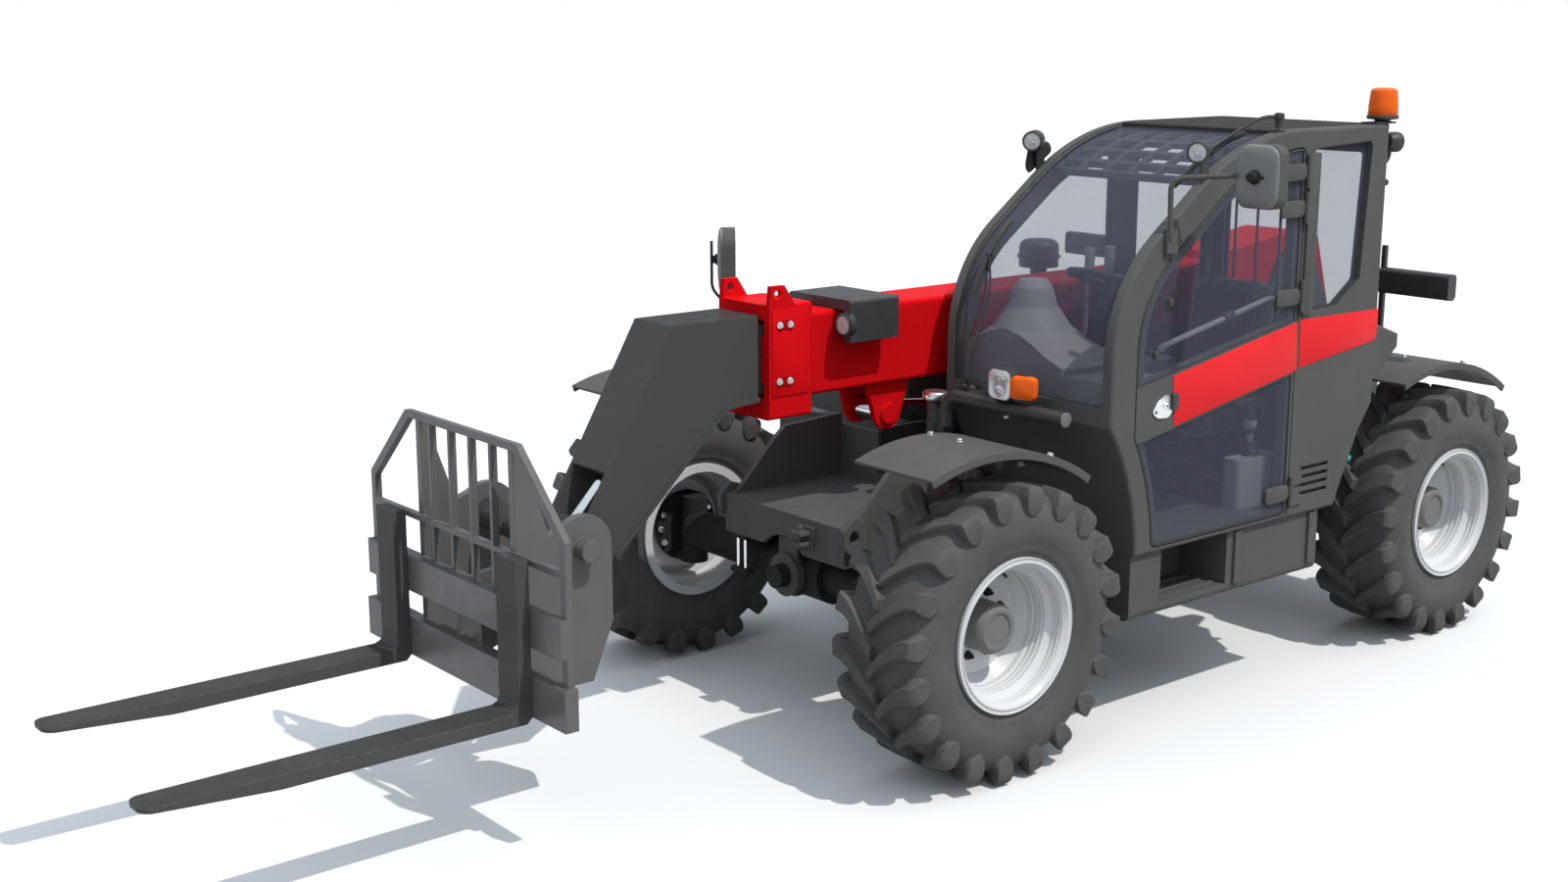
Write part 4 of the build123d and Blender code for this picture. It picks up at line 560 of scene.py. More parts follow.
def one(name, maker, given, finish, body="chassis", sharp=35.0):
    """A piece made by one maker from what it is given."""
    bm = bmesh.new()
    maker(bm, *given)
    return piece(name, bm, finish, body, sharp)


def turned(name, profile, place, finish, body="chassis", steps=32, flute=0.0, sharp=35.0):
    """A piece that is one solid of revolution."""
    return one(name, lathe, (profile, place, steps, flute), finish, body, sharp)


def stacked(name, outline, levels, place, finish, body="chassis", sharp=35.0):
    """A piece that is one outline at several levels."""
    return one(name, stack, (outline, levels, place), finish, body, sharp)


# Wheels
# Half of the tyre's section, as (radius, out from the middle)
CARCASS = ((0.2687, 0.144), (0.2547, 0.166), (0.283, 0.166), (0.299, 0.172), (0.304, 0.1765), (0.310, 0.1785),
           (0.316, 0.178), (0.338, 0.189), (0.365, 0.1945), (0.400, 0.1955), (0.431, 0.188), (0.448, 0.183),
           (0.464, 0.175), (0.480, 0.162), (0.494, 0.144), (0.502, 0.122), (0.504, 0.060))
ROUND_STEPS = 96
LUG_COUNT = 20
LUG_SLANT = 0.138
LUG_END = -0.062
LUG_FLARE = 0.007
LUG_EDGE_DROP = 0.006
LUG_EDGE_IN = 0.005
TREAD_STEPS = 9
# Over the shoulder: crest radius and width, foot radius and width, half length round the tyre
SHOULDER = (
    (0.529, 0.188, 0.490, 0.150, 0.034),
    (0.517, 0.197, 0.482, 0.160, 0.038),
    (0.503, 0.200, 0.474, 0.167, 0.041),
    (0.482, 0.1998, 0.462, 0.175, 0.042),
    (0.460, 0.1985, 0.448, 0.182, 0.037),
    (0.444, 0.196, 0.438, 0.186, 0.022),
    (0.430, 0.193, 0.428, 0.188, 0.006),
)
NUT_ACROSS = 0.023
NUT_HIGH = 0.019
NUT_STUD = ((0.007, 0.016), (0.007, 0.028), (0.005, 0.031), (0.0, 0.031))
# Low round beads on the rim's outer face and on its stepped wall
FACE_RIDGE = ((-0.003, -0.002), (-0.0015, 0.003), (0.0015, 0.003), (0.003, -0.002))
WALL_RIDGE = ((0.002, -0.004), (-0.003, -0.002), (-0.003, 0.002), (0.002, 0.004))
BEADS = ((FACE_RIDGE, 0.2785, RIM_FACE), (FACE_RIDGE, 0.2625, RIM_FACE), (WALL_RIDGE, 0.245, 0.132),
         (WALL_RIDGE, 0.245, 0.152), (WALL_RIDGE, 0.221, 0.066), (WALL_RIDGE, 0.221, 0.086))
VALVE_FOOT = Vector((0.0, 0.226, 0.075))
VALVE = ((0.009, -0.012), (0.009, 0.008), (0.005, 0.014), (0.005, 0.040), (0.006, 0.041), (0.006, 0.054),
         (0.0, 0.056))
HUB_RING = ((0.058, 0.086), (0.058, 0.0905), (0.063, 0.0925), (0.072, 0.0925), (0.077, 0.0905),
            (0.077, 0.086))


def lug_stations():
    """Along one lug: crest radius and width, foot radius and width, place round the tyre, half length."""
    stations = []
    for k in range(TREAD_STEPS + 1):
        t = k / TREAD_STEPS
        out = -0.010 + 0.184 * t
        crest = WHEEL_R - 0.005 * t * t
        foot = 0.497 - 0.4 * max(0.0, out - 0.122)
        shift = LUG_SLANT * (1.0 - t) ** 1.5 + LUG_END
        stations.append((crest, out, foot, min(out, 0.150), shift, 0.023 + 0.010 * t))
    for crest, out, foot, foot_out, half in SHOULDER:
        stations.append((crest, out, foot, foot_out, LUG_END, half))
    return stations


def tyre(name, side, place):
    """The carcass and two rows of curved lugs that run over the shoulder."""
    bm = bmesh.new()
    ring_loop(bm, list(CARCASS) + [(r, -u) for r, u in reversed(CARCASS)], place, ROUND_STEPS)
    stations = lug_stations()
    for k in range(2 * LUG_COUNT):
        hand = 1 if k % 2 == 0 else -1
        start = math.pi * k / LUG_COUNT
        rows = []
        for crest, out, foot, foot_out, shift, half in stations:
            row = []
            rim = ((foot, foot_out, half + LUG_FLARE), (crest - LUG_EDGE_DROP, out, half),
                   (crest, out, half - LUG_EDGE_IN))
            steps = [(*point, -1) for point in rim] + [(*point, 1) for point in reversed(rim)]
            for radius, width, reach, way in steps:
                angle = start - side * (shift + way * reach) / WHEEL_R
                point = Vector((radius * math.sin(angle), radius * math.cos(angle), width * hand))
                row.append(bm.verts.new(place @ point))
            rows.append(row)
        skin(bm, rows, ring=False)
        bm.faces.new(rows[0])
        bm.faces.new(rows[-1])
    made = piece(f"{name}_tread_tyre", bm, "tyre_rubber", f"{name}_wheel", 38.0)
    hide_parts(f"{name}_tyre")


def wheel_fittings(name, x, side):
    body = f"{name}_wheel"
    out = Vector((0.0, float(side), 0.0))
    place = looking((x, WHEEL_Y * side, WHEEL_R), out)
    tyre(name, side, place)

    nuts = bmesh.new()
    for k in range(NUT_COUNT):
        angle = 2.0 * math.pi * (k + 0.5) / NUT_COUNT
        at = place @ Vector((NUT_CIRCLE * math.cos(angle), NUT_CIRCLE * math.sin(angle), DISC_FACE))
        hexagon(nuts, NUT_ACROSS, NUT_HIGH, frame_along(at, out))
        lathe(nuts, NUT_STUD, frame_along(at, out), 12)
    piece(f"{name}_nuts", nuts, "cast", body)

    beads = bmesh.new()
    for ridge, radius, at in BEADS:
        ring_loop(beads, [(radius + r, at + height) for r, height in ridge], place, ROUND_STEPS)
    piece(f"{name}_rim_beads", beads, "rim_paint", body, 50.0)

    stem = frame_along(place @ VALVE_FOOT, out * 0.9 - UP * 0.45)
    turned(f"{name}_valve", VALVE, stem, "black_plastic", body, 14)

    one(f"{name}_hub_ring", ring_loop, (HUB_RING, place, 48), "hub", body)


for wheel in WHEEL_PLACES:
    wheel_fittings(*wheel)


# Cab stripes
STRIPE_PROUD = 0.0022
DOOR_STRIPE = ((-0.640, 1.352), (-0.654, 1.160), (-1.381, 1.286), (-1.370, 1.479))
WALL_STRIPE = ((-1.389, 1.486), (-1.394, 1.294), (-1.897, 1.352), (-1.907, 1.396), (-1.908, 1.480))


def side_face(y):
    """A place on a side face of the cab: X runs forward, Y up, Z outward to the left."""
    return Matrix(((1, 0, 0, 0), (0, 0, 1, y), (0, 1, 0, 0), (0, 0, 0, 1)))


for name, outline, body in (("door_stripe", DOOR_STRIPE, "door"), ("wall_stripe", WALL_STRIPE, "chassis")):
    one(name, slab, (outline, STRIPE_PROUD, side_face(CAB_LEFT), 0.0008), "stripe", body)


# Window seals
SEAL_SECTION = ((-0.006, -0.005), (0.006, -0.005), (0.007, 0.001), (0.004, 0.005), (-0.004, 0.005),
                (-0.007, 0.001))
DOOR_SEAL_SECTION = ((-0.0022, -0.002), (0.0022, -0.002), (0.0026, 0.0004), (0.0, 0.0012), (-0.0026, 0.0004))
STRIP_SECTION = ((-0.007, -0.004), (0.007, -0.004), (0.007, 0.004), (-0.007, 0.004))
SEALS = (
    ("door_glass_seals", "door_glass", LEFTWARD, DOOR_SEAL_SECTION, "door"),
    ("quarter_glass_seals", "cab_glass", LEFTWARD, SEAL_SECTION, "chassis"),
    ("right_glass_seals", "cab_glass", (0, -1, 0), SEAL_SECTION, "chassis"),
    ("rear_glass_seal", "cab_glass", REARWARD, SEAL_SECTION, "chassis"),
)
SEAL_STEP = 0.004


def pane_outlines(node, normal):
    """The rim of each flat pane face that looks along a normal."""
    bm = bmesh.new()
    bm.from_mesh(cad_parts[node].data)
    bmesh.ops.remove_doubles(bm, verts=bm.verts, dist=1e-5)
    faces = {face for face in bm.faces if face.normal.dot(Vector(normal)) > 0.99}
    ways = {}
    for edge in bm.edges:
        if sum(face in faces for face in edge.link_faces) == 1:
            first, second = edge.verts
            ways.setdefault(first, []).append(second)
            ways.setdefault(second, []).append(first)
    loops = []
    while ways:
        loop = [next(iter(ways))]
        while True:
            nexts = [v for v in ways.pop(loop[-1], []) if v in ways]
            if not nexts:
                break
            loop.append(nexts[0])
        loops.append([v.co.copy() for v in loop])
    bm.free()
    return loops


def spaced(loop, least):
    """A loop without points closer than a least step."""
    kept = [loop[0]]
    for point in loop[1:]:
        if (point - kept[-1]).length > least and (point - loop[0]).length > least:
            kept.append(point)
    return kept


for name, node, normal, section, body in SEALS:
    rubber = bmesh.new()
    for loop in pane_outlines(node, normal):
        sweep(rubber, spaced(loop, SEAL_STEP), section, closed=True)
    piece(name, rubber, "seal", body, 50.0)


# Cab outline
def cab_profile(inset, end_x, foot_z, count=14):
    """The cab's front, brow, slope and roof line as (x, z) points, drawn in by an inset."""
    points = [(CAB_FRONT - inset, foot_z)]
    spans = ((BROW_CENTRE, BROW_R, 0.0, BROW_ANGLE), (ROOF_CENTRE, ROOF_R, BROW_ANGLE, math.pi / 2))
    for (cx, cz), radius, first, last in spans:
        for k in range(count + 1):
            angle = first + (last - first) * k / count
            x = cx + (radius - inset) * math.cos(angle)
            z = cz + (radius - inset) * math.sin(angle)
            if x > end_x and z > foot_z:
                points.append((x, z))
    return points


def along_profile(inset, y, x0, x1, z0):
    """A stretch of the cab outline at one width, between two X values."""
    return [Vector((x, y, z)) for x, z in cab_profile(inset, x0, z0, 28) if x0 < x < x1]


strips = bmesh.new()
for y in (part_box("windscreen")[0].y + 0.004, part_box("windscreen")[1].y - 0.004):
    line = cab_profile(SCREEN_INSET - 0.001, SCREEN_END_X, SCREEN_FOOT_Z)
    sweep(strips, [Vector((x, y, z)) for x, z in line], STRIP_SECTION)
piece("windscreen_seals", strips, "seal")


# Wipers
WIPER_Y = 0.335
WIPER_OFF = -0.008
BLADE_Y = WIPER_Y - 0.012
BLADE_SECTION = ((-0.004, -0.010), (0.004, -0.010), (0.007, 0.002), (0.003, 0.010), (-0.003, 0.010),
                 (-0.007, 0.002))
WIPER_HUB = ((0.018, -0.028), (0.018, 0.006), (0.013, 0.012), (0.0, 0.012))
WIPER_JOINT = ((0.010, -0.014), (0.012, 0.0), (0.008, 0.008), (0.0, 0.009))
CRANK = ((0.026, 0.0), (0.026, 0.012), (0.015, 0.018), (0.015, 0.048), (0.020, 0.052), (0.020, 0.070),
         (0.012, 0.076), (0.0, 0.076))
CRANK_JOINT = ((0.011, -0.012), (0.011, 0.010), (0.0, 0.013))


def front_wiper():
    made = bmesh.new()
    blade = along_profile(WIPER_OFF, BLADE_Y, -0.66, CAB_FRONT - 0.018, 1.40)
    sweep(made, blade, BLADE_SECTION)
    middle = blade[len(blade) // 2]
    for shift in (0.0, 0.045):
        foot = Vector((CAB_FRONT + 0.022, BLADE_Y + shift, SCREEN_FOOT_Z - 0.02))
        run = [foot, foot + Vector((0.004, 0.0, 0.16)), middle + Vector((0.012, shift * 0.6, -0.16)),
               middle + Vector((0.010, shift * 0.2, 0.0))]
        sweep(made, smooth_path(run, 0.10), circle(0.0055, 8))
        lathe(made, WIPER_HUB, frame_along(foot, AHEAD), 20)
    bar(made, (CAB_FRONT, WIPER_Y - 0.045, SCREEN_FOOT_Z - 0.05),
        (CAB_FRONT + 0.014, WIPER_Y + 0.065, SCREEN_FOOT_Z + 0.004), 0.004)
    lathe(made, WIPER_JOINT, frame_along(middle, (1, 0, 0.6)), 16)
    piece("front_wiper", made, "black_plastic")


def roof_wiper():
    made = bmesh.new()
    base = Vector((SCREEN_END_X + 0.005, CAB_LEFT - 0.032, CAB_TOP - 0.012))
    lathe(made, CRANK, Matrix.Translation(base), 20)
    blade = along_profile(WIPER_OFF, CAB_LEFT - 0.115, -1.14, -0.70, 1.5)
    sweep(made, blade, BLADE_SECTION)
    middle = blade[len(blade) // 2]
    crank = base + Vector((0.0, 0.0, 0.062))
    run = [crank, crank + Vector((0.075, -0.022, 0.0)), middle + Vector((-0.11, 0.015, 0.065)),
           middle + Vector((0.0, 0.0, 0.012))]
    sweep(made, smooth_path(run, 0.05), circle(0.0065, 8))
    lathe(made, CRANK_JOINT, frame_along(middle, (0.5, 0, 1)), 14)
    piece("roof_wiper", made, "black_plastic")


front_wiper()
roof_wiper()


# Door fittings
HINGE_HEIGHTS = (2.060, 1.920, 1.580, 0.800)
STRAP_REAR = -1.364
STRAP_FRONT = -1.222
STRAP_HALF = 0.032
STRAP_RISE = 0.012
POST_COVER = ((-1.389, 1.499), (-1.389, 2.128), (-1.452, 2.128), (-1.452, 1.508))
LOCK_PLATE = ((-0.526, 1.228), (-0.553, 1.266), (-0.606, 1.288), (-0.636, 1.266), (-0.638, 1.214),
              (-0.612, 1.198), (-0.556, 1.203))
LOCK_AT = (-0.600, CAB_LEFT, 1.246)
KEYHOLE_AT = (-0.546, CAB_LEFT, 1.227)
HANDLE_AT = (-0.648, CAB_LEFT + 0.002, 1.256)
HANDLE_LEVELS = ((1.0, 0.0), (1.0, 0.007), (0.9, 0.011), (0.6, 0.013))
GRAB_LOW = Vector((-0.640, CAB_LEFT - 0.068, 1.447))
GRAB_HIGH = Vector((-1.270, CAB_LEFT - 0.068, 1.571))
GRAB_WALL = CAB_LEFT - 0.040
KNOB = ((0.018, -0.026), (0.022, -0.019), (0.022, 0.019), (0.018, 0.026))
KNOB_SHARE = 0.62
GLASS_STUDS = ((-0.610, 1.627), (-0.542, 1.440))


def door_fittings():
    straps = bmesh.new()
    for z in HINGE_HEIGHTS:
        low, high = z - STRAP_HALF, z + STRAP_HALF
        corners = ((STRAP_REAR, low), (STRAP_FRONT, low), (STRAP_FRONT, high), (STRAP_REAR, high))
        slab(straps, softened(corners, 0.020), STRAP_RISE, side_face(CAB_LEFT - 0.0008), 0.003)
    piece("hinge_straps", straps, "dark_paint", "door")

    cover = (softened(POST_COVER, 0.008), 0.0105, side_face(CAB_LEFT - 0.0006), 0.003)
    one("door_post_cover", slab, cover, "dark_paint")

    lock = frame_along(LOCK_AT, LEFTWARD)
    plate = bmesh.new()
    slab(plate, softened(LOCK_PLATE, 0.014), 0.005, side_face(CAB_LEFT), 0.0015)
    lathe(plate, [(0.0125, 0.004), (0.0125, 0.010), (0.010, 0.013), (0.0, 0.0132)], lock, 24)
    piece("lock_plate", plate, "zinc", "door")
    # Black discs in place of the keyhole and the lock's hole: painted shade.
    holes = bmesh.new()
    lathe(holes, [(0.006, 0.0), (0.006, 0.0062), (0.0, 0.0062)], frame_along(KEYHOLE_AT, LEFTWARD), 16)
    lathe(holes, [(0.0045, 0.010), (0.0045, 0.0142), (0.0, 0.0142)], lock, 16)
    piece("lock_hole_shades", holes, "seal", "door")

    stacked("door_handle", oblong(0.034, 0.066, 0.012), HANDLE_LEVELS, looking(HANDLE_AT, LEFTWARD),
            "black_plastic", "door")

    grab = bmesh.new()
    run = [(GRAB_LOW.x + 0.02, GRAB_WALL, GRAB_LOW.z), GRAB_LOW, GRAB_HIGH,
           (GRAB_HIGH.x - 0.02, GRAB_WALL, GRAB_HIGH.z)]
    sweep(grab, smooth_path(run, 0.05), circle(0.011, 12))
    piece("door_grab_bar", grab, "cab_trim", "door")
    knob_place = frame_along(GRAB_LOW.lerp(GRAB_HIGH, KNOB_SHARE), GRAB_HIGH - GRAB_LOW)
    turned("grab_bar_knob", KNOB, knob_place, "black_plastic", "door", 20)

    studs = bmesh.new()
    for x, z in GLASS_STUDS:
        place = frame_along((x, CAB_LEFT - 0.0016, z), LEFTWARD)
        lathe(studs, [(0.017, 0.0), (0.017, 0.004), (0.012, 0.008), (0.0, 0.008)], place, 24)
        lathe(studs, [(0.018, -0.020), (0.018, -0.008), (0.010, -0.0065)], place, 24)
    piece("glass_studs", studs, "black_plastic", "door")


door_fittings()


# Lamps
# A round lamp's sections, as (share of its radius, height)
LAMP_BEZEL = ((0.84, -0.006), (0.84, 0.006), (0.92, 0.009), (1.06, 0.005), (1.06, -0.012), (0.98, -0.014))
LAMP_BOWL = ((0.86, 0.0008), (0.84, 0.003), (0.55, 0.0016), (0.3, 0.0012), (0.2, 0.004), (0.0, 0.0045))
LAMP_LENS = ((0.87, 0.0035), (0.86, 0.0062), (0.6, 0.0085), (0.3, 0.0098), (0.0, 0.0102))


def sized(profile, radius):
    return [(radius * share, height) for share, height in profile]


def work_lamp(name, at, ahead, radius, body="chassis"):
    """A round lamp's bezel, reflector and lens, set on the face of its can."""
    place = looking(at, ahead)
    one(f"{name}_bezel", ring_loop, (sized(LAMP_BEZEL, radius), place, 40), "black_plastic", body)
    turned(f"{name}_reflector", sized(LAMP_BOWL, radius), place, "chrome_rod", body)
    turned(f"{name}_lens", sized(LAMP_LENS, radius), place, "clear_lens", body)


ROOF_LAMP_WAY = Vector((0.048, 0.028, -0.004))
ROOF_LAMP_X = CAB_FRONT - 0.420
ROOF_LAMP_Z = CAB_TOP - 0.061
ROOF_LAMP_R = 0.038
ROOF_LAMP_PLATE = ((-0.742, 2.152), (-0.800, 2.158), (-0.856, 2.150), (-0.872, 2.112), (-0.800, 2.066),
                   (-0.742, 2.028), (-0.722, 2.060))
PLATE_BOLTS = ((-0.755, 2.062), (-0.845, 2.118))
PLATE_Y = CAB_RIGHT - 0.0055
BOOM_LAMP_Z = 1.521
BOOM_LAMP_R = 0.040
for name, y in (("right_roof_lamp", CAB_RIGHT + 0.030), ("left_roof_lamp", CAB_LEFT - 0.004)):
    work_lamp(name, (ROOF_LAMP_X, y, ROOF_LAMP_Z), ROOF_LAMP_WAY, ROOF_LAMP_R)
lamp_plate = bmesh.new()
slab(lamp_plate, softened(ROOF_LAMP_PLATE, 0.018), 0.005, side_face(PLATE_Y), 0.001)
for x, z in PLATE_BOLTS:
    hexagon(lamp_plate, 0.014, 0.009, frame_along((x, PLATE_Y, z), (0, -1, 0)))
piece("roof_lamp_plate", lamp_plate, "black_plastic")
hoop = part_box("boom_lamp_bracket")
work_lamp("boom_lamp", (hoop[1].x, hoop[1].y - 0.046, BOOM_LAMP_Z), AHEAD, BOOM_LAMP_R, "boom")

HEADLAMP_Y = 0.645
HEADLAMP_FACE = 0.0105
LAMP_BAR_R = 0.027
BULB = ((0.024, 0.0012), (0.023, 0.0045), (0.010, 0.003), (0.006, 0.007), (0.0, 0.0075))
HEADLAMP_GLASS = ((1.0, 0.002), (1.0, 0.006), (0.93, 0.0095), (0.6, 0.0105))
BLINKER = ((0.9, -0.014), (1.0, 0.0), (1.0, 0.014), (0.92, 0.028), (0.7, 0.034))
BEACON_FOOT = ((0.036, 0.006), (0.031, 0.010), (0.031, 0.014), (0.058, 0.017), (0.063, 0.021), (0.063, 0.029),
               (0.059, 0.032))
REAR_LENS_Z = 1.525
REAR_LENSES = (("rear_red_lenses", 0.99, "red_lens"), ("rear_amber_lenses", 0.85, "amber"))
REAR_LENS = ((1.0, -0.004), (1.0, 0.004), (0.94, 0.008), (0.7, 0.009))


def headlamp():
    low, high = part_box("headlamp")
    z = (low.z + high.z) / 2
    depth = high.x - low.x
    shell = bmesh.new()
    levels = [(0.62, 0.0), (0.86, 0.012), (0.98, 0.036), (1.0, 0.060), (1.0, depth - 0.012),
              (0.95, depth - 0.009)]
    stack(shell, oblong(0.120, 0.120, 0.030), levels, looking((low.x, HEADLAMP_Y, z), AHEAD))
    side = looking((low.x + 0.014, high.y - 0.040, z - 0.002), AHEAD)
    levels = [(0.6, 0.0), (0.9, 0.012), (1.0, 0.028), (1.0, 0.040)]
    stack(shell, oblong(0.078, 0.092, 0.018), levels, side)
    made = piece("headlamp_shell", shell, "lamp_shell")
    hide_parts("headlamp")

    bowl = bmesh.new()
    face_x = high.x - HEADLAMP_FACE
    face = looking((face_x, HEADLAMP_Y, z), AHEAD)
    stack(bowl, oblong(0.108, 0.108, 0.026), [(1.0, 0.0), (0.98, 0.003), (0.5, 0.0015)], face)
    for shift in (-0.024, 0.024):
        lathe(bowl, BULB, looking((face_x, HEADLAMP_Y, z + shift), AHEAD), 24)
    piece("headlamp_reflector", bowl, "chrome_rod")
    stacked("headlamp_lens", oblong(0.110, 0.110, 0.027), HEADLAMP_GLASS, face, "clear_lens")
    blink = looking((low.x + 0.046, high.y - 0.026, z - 0.004), (1, 0.35, 0))
    stacked("headlamp_amber", oblong(0.104, 0.088, 0.020), BLINKER, blink, "amber")

    bolt = bmesh.new()
    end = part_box("lamp_bar")[1]
    hexagon(bolt, 0.017, 0.011, frame_along((end.x - LAMP_BAR_R, HEADLAMP_Y, end.z - 0.060), (0, 0, -1)))
    piece("headlamp_bolt", bolt, "zinc")


def beacon():
    low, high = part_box("beacon")
    x = CAB_REAR - 0.008
    y = CAB_LEFT - 0.045
    foot = Matrix.Translation((x, y, low.z))
    base = bmesh.new()
    bar(base, (x - 0.040, y - 0.040, low.z), (x + 0.090, y + 0.040, low.z + 0.008), 0.003)
    lathe(base, BEACON_FOOT, foot, 40)
    piece("beacon_base", base, "black_plastic")
    height = high.z - low.z
    dome = [(0.056, 0.030), (0.060, 0.033), (0.0585, 0.060), (0.0525, height - 0.016),
            (0.049, height - 0.007), (0.040, height - 0.002), (0.030, height), (0.0, height)]
    made = turned("beacon_dome", dome, foot, "amber", steps=72, flute=0.0008, sharp=60.0)
    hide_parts("beacon")


def rear_lights():
    rear_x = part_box("rear_lamps")[0].x
    for name, y, finish in REAR_LENSES:
        pair = bmesh.new()
        for side in (1, -1):
            place = looking((rear_x, side * y, REAR_LENS_Z), REARWARD)
            stack(pair, oblong(0.120, 0.080, 0.012), REAR_LENS, place)
        piece(name, pair, finish)


headlamp()
beacon()
rear_lights()

# Mirrors
LEFT_MIRROR_AT = Vector((-0.760, 1.310, 2.0875))
RIGHT_MIRROR_AT = Vector((-0.397, -1.306, 1.572))
RIGHT_MIRROR_TURN = math.radians(-37.4)
RIGHT_MIRROR_WAY = Vector((math.cos(RIGHT_MIRROR_TURN), math.sin(RIGHT_MIRROR_TURN), 0.0))
STALK_OFF = 0.076
MIRROR_BACK = ((0.985, 0.0), (0.995, 0.004), (0.97, 0.012), (0.90, 0.018), (0.6, 0.023), (0.25, 0.0245))
MIRROR_CLAMP = ((0.026, 0.018), (0.026, 0.030), (0.018, 0.036), (0.018, 0.050), (0.012, 0.054), (0.0, 0.054))
MIRROR_FACE = ((1.0, 0.0), (1.0, 0.0015), (0.985, 0.0025))


def mirror(name, middle, ahead, width, height, thick):
    """The crowned back shell, the clamp and the glass of a mirror head."""
    ahead = Vector(ahead).normalized()
    front = looking(middle + ahead * (thick / 2 - 0.004), ahead)
    outline = oblong(width, height, 0.048, 7)
    stacked(f"{name}_shell", outline, MIRROR_BACK, front, "mirror_shell", sharp=50.0)
    clamp = bmesh.new()
    lathe(clamp, MIRROR_CLAMP, front, 24)
    for side in (0.034, -0.034):
        hexagon(clamp, 0.010, 0.007, front @ Matrix.Translation((side, 0.0, 0.021)))
    piece(f"{name}_clamp", clamp, "cast")
    rear = looking(middle - ahead * (thick / 2 - 0.0005), -ahead)
    outline = oblong(width * 0.9, height * 0.92, 0.040, 7)
    stacked(f"{name}_glass", outline, MIRROR_FACE, rear, "mirror_glass")


stalk = bmesh.new()
stalk_foot = Vector((RIGHT_MIRROR_AT.x, RIGHT_MIRROR_AT.y, 0.0)) + RIGHT_MIRROR_WAY * STALK_OFF
stalk_run = [stalk_foot + Vector(step) for step in ((-0.03, 0.03, 1.392), (0, 0, 1.440), (0, 0, 1.655))]
sweep(stalk, smooth_path(stalk_run, 0.05), circle(0.007, 10))
piece("right_mirror_stalk", stalk, "black_plastic")
mirror("left_mirror", LEFT_MIRROR_AT, AHEAD, 0.180, 0.225, 0.050)
mirror("right_mirror", RIGHT_MIRROR_AT, RIGHT_MIRROR_WAY, 0.186, 0.281, 0.060)

# Fenders
FENDER_R = 0.850
FENDER_TOP = 1.200
FENDER_SHIFT = 0.110
FENDER_BOLTS = ((-0.045, 0.715), (-0.045, 0.860), (-0.300, 1.050))
REAR_BOLT_SHARE = 0.6


def fender_bolts():
    heads = bmesh.new()
    for axle, share in ((AXLE_FRONT_X, 1.0), (AXLE_REAR_X, REAR_BOLT_SHARE)):
        for side in (1, -1):
            for shift, y in FENDER_BOLTS:
                reach = shift * share
                way = Vector((reach, 0.0, math.sqrt(FENDER_R ** 2 - reach ** 2)))
                at = Vector((axle + FENDER_SHIFT, side * y, FENDER_TOP - FENDER_R)) + way
                hexagon(heads, 0.020, 0.011, frame_along(at, way))
    piece("fender_bolts", heads, "zinc")


fender_bolts()

# Boom and nose
COLLAR_CHEEK = 0.003
COLLAR_Z = 1.436
COLLAR_HIGH = 0.320
COLLAR_BOLTS = ((0.487, 1.541), (0.437, 1.540), (0.489, 1.332), (0.439, 1.331))
SLOT_X = 0.463
SLOT_HEIGHTS = (1.5405, 1.3315)
GUIDE_X = 0.330
GUIDE_PLACES = (-0.302, -0.256)
GUIDE_ROD = ((0.0085, 0.0), (0.0085, 0.142))
KNUCKLE_BOLTS = (0, 28, -28, 180, 152, 208)
KNUCKLE_CIRCLE = 0.128
KNUCKLE_Y = 0.842


def boom_fittings():
    low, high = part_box("boom_collar")
    cheeks = bmesh.new()
    plates = bmesh.new()
    bolts = bmesh.new()
    for side in (1, -1):
        face = high.y * side
        out = (0, side, 0)
        middle = looking(((low.x + high.x) / 2, face, COLLAR_Z), out)
        slab(cheeks, oblong(high.x - low.x - 0.024, COLLAR_HIGH, 0.012), COLLAR_CHEEK, middle, 0.001)
        # Plates of darker red where the slots are: painted shade of the recesses.
        for z in SLOT_HEIGHTS:
            place = looking((SLOT_X, face, z), out)
            slab(plates, oblong(0.088, 0.036, 0.0175, 6), COLLAR_CHEEK + 0.001, place)
        for x, z in COLLAR_BOLTS:
            hexagon(bolts, 0.019, 0.010, frame_along((x, face + COLLAR_CHEEK * side, z), out))
    piece("collar_cheeks", cheeks, "red_paint", "boom")
    piece("collar_slot_shades", plates, "slot_shade_red", "boom")
    piece("collar_bolts", bolts, "zinc", "boom")

    guides = bmesh.new()
    shoes = bmesh.new()
    bar(shoes, (0.305, -0.330, 0.478), (0.352, -0.228, 0.502), 0.006)
    bar(shoes, (0.305, -0.330, 0.624), (0.352, -0.228, 0.6398), 0.004)
    for y in GUIDE_PLACES:
        lathe(guides, GUIDE_ROD, Matrix.Translation((GUIDE_X, y, 0.500)), 16)
        hexagon(shoes, 0.022, 0.012, frame_along((GUIDE_X, y, 0.478), (0, 0, -1)))
    piece("axle_guide_rods", guides, "chrome_rod")
    piece("axle_guide_shoes", shoes, "cast")


def knuckle_bolts():
    for name, x, side in WHEEL_PLACES:
        ring = bmesh.new()
        for degrees in KNUCKLE_BOLTS:
            angle = math.radians(degrees)
            ahead = KNUCKLE_CIRCLE * math.cos(angle)
            rise = KNUCKLE_CIRCLE * math.sin(angle)
            at = (x + ahead, side * KNUCKLE_Y, WHEEL_R + rise)
            hexagon(ring, 0.019, 0.013, frame_along(at, (0, -side, 0)))
        piece(f"{name}_knuckle_bolts", ring, "zinc", f"{name}_knuckle")


boom_fittings()
knuckle_bolts()

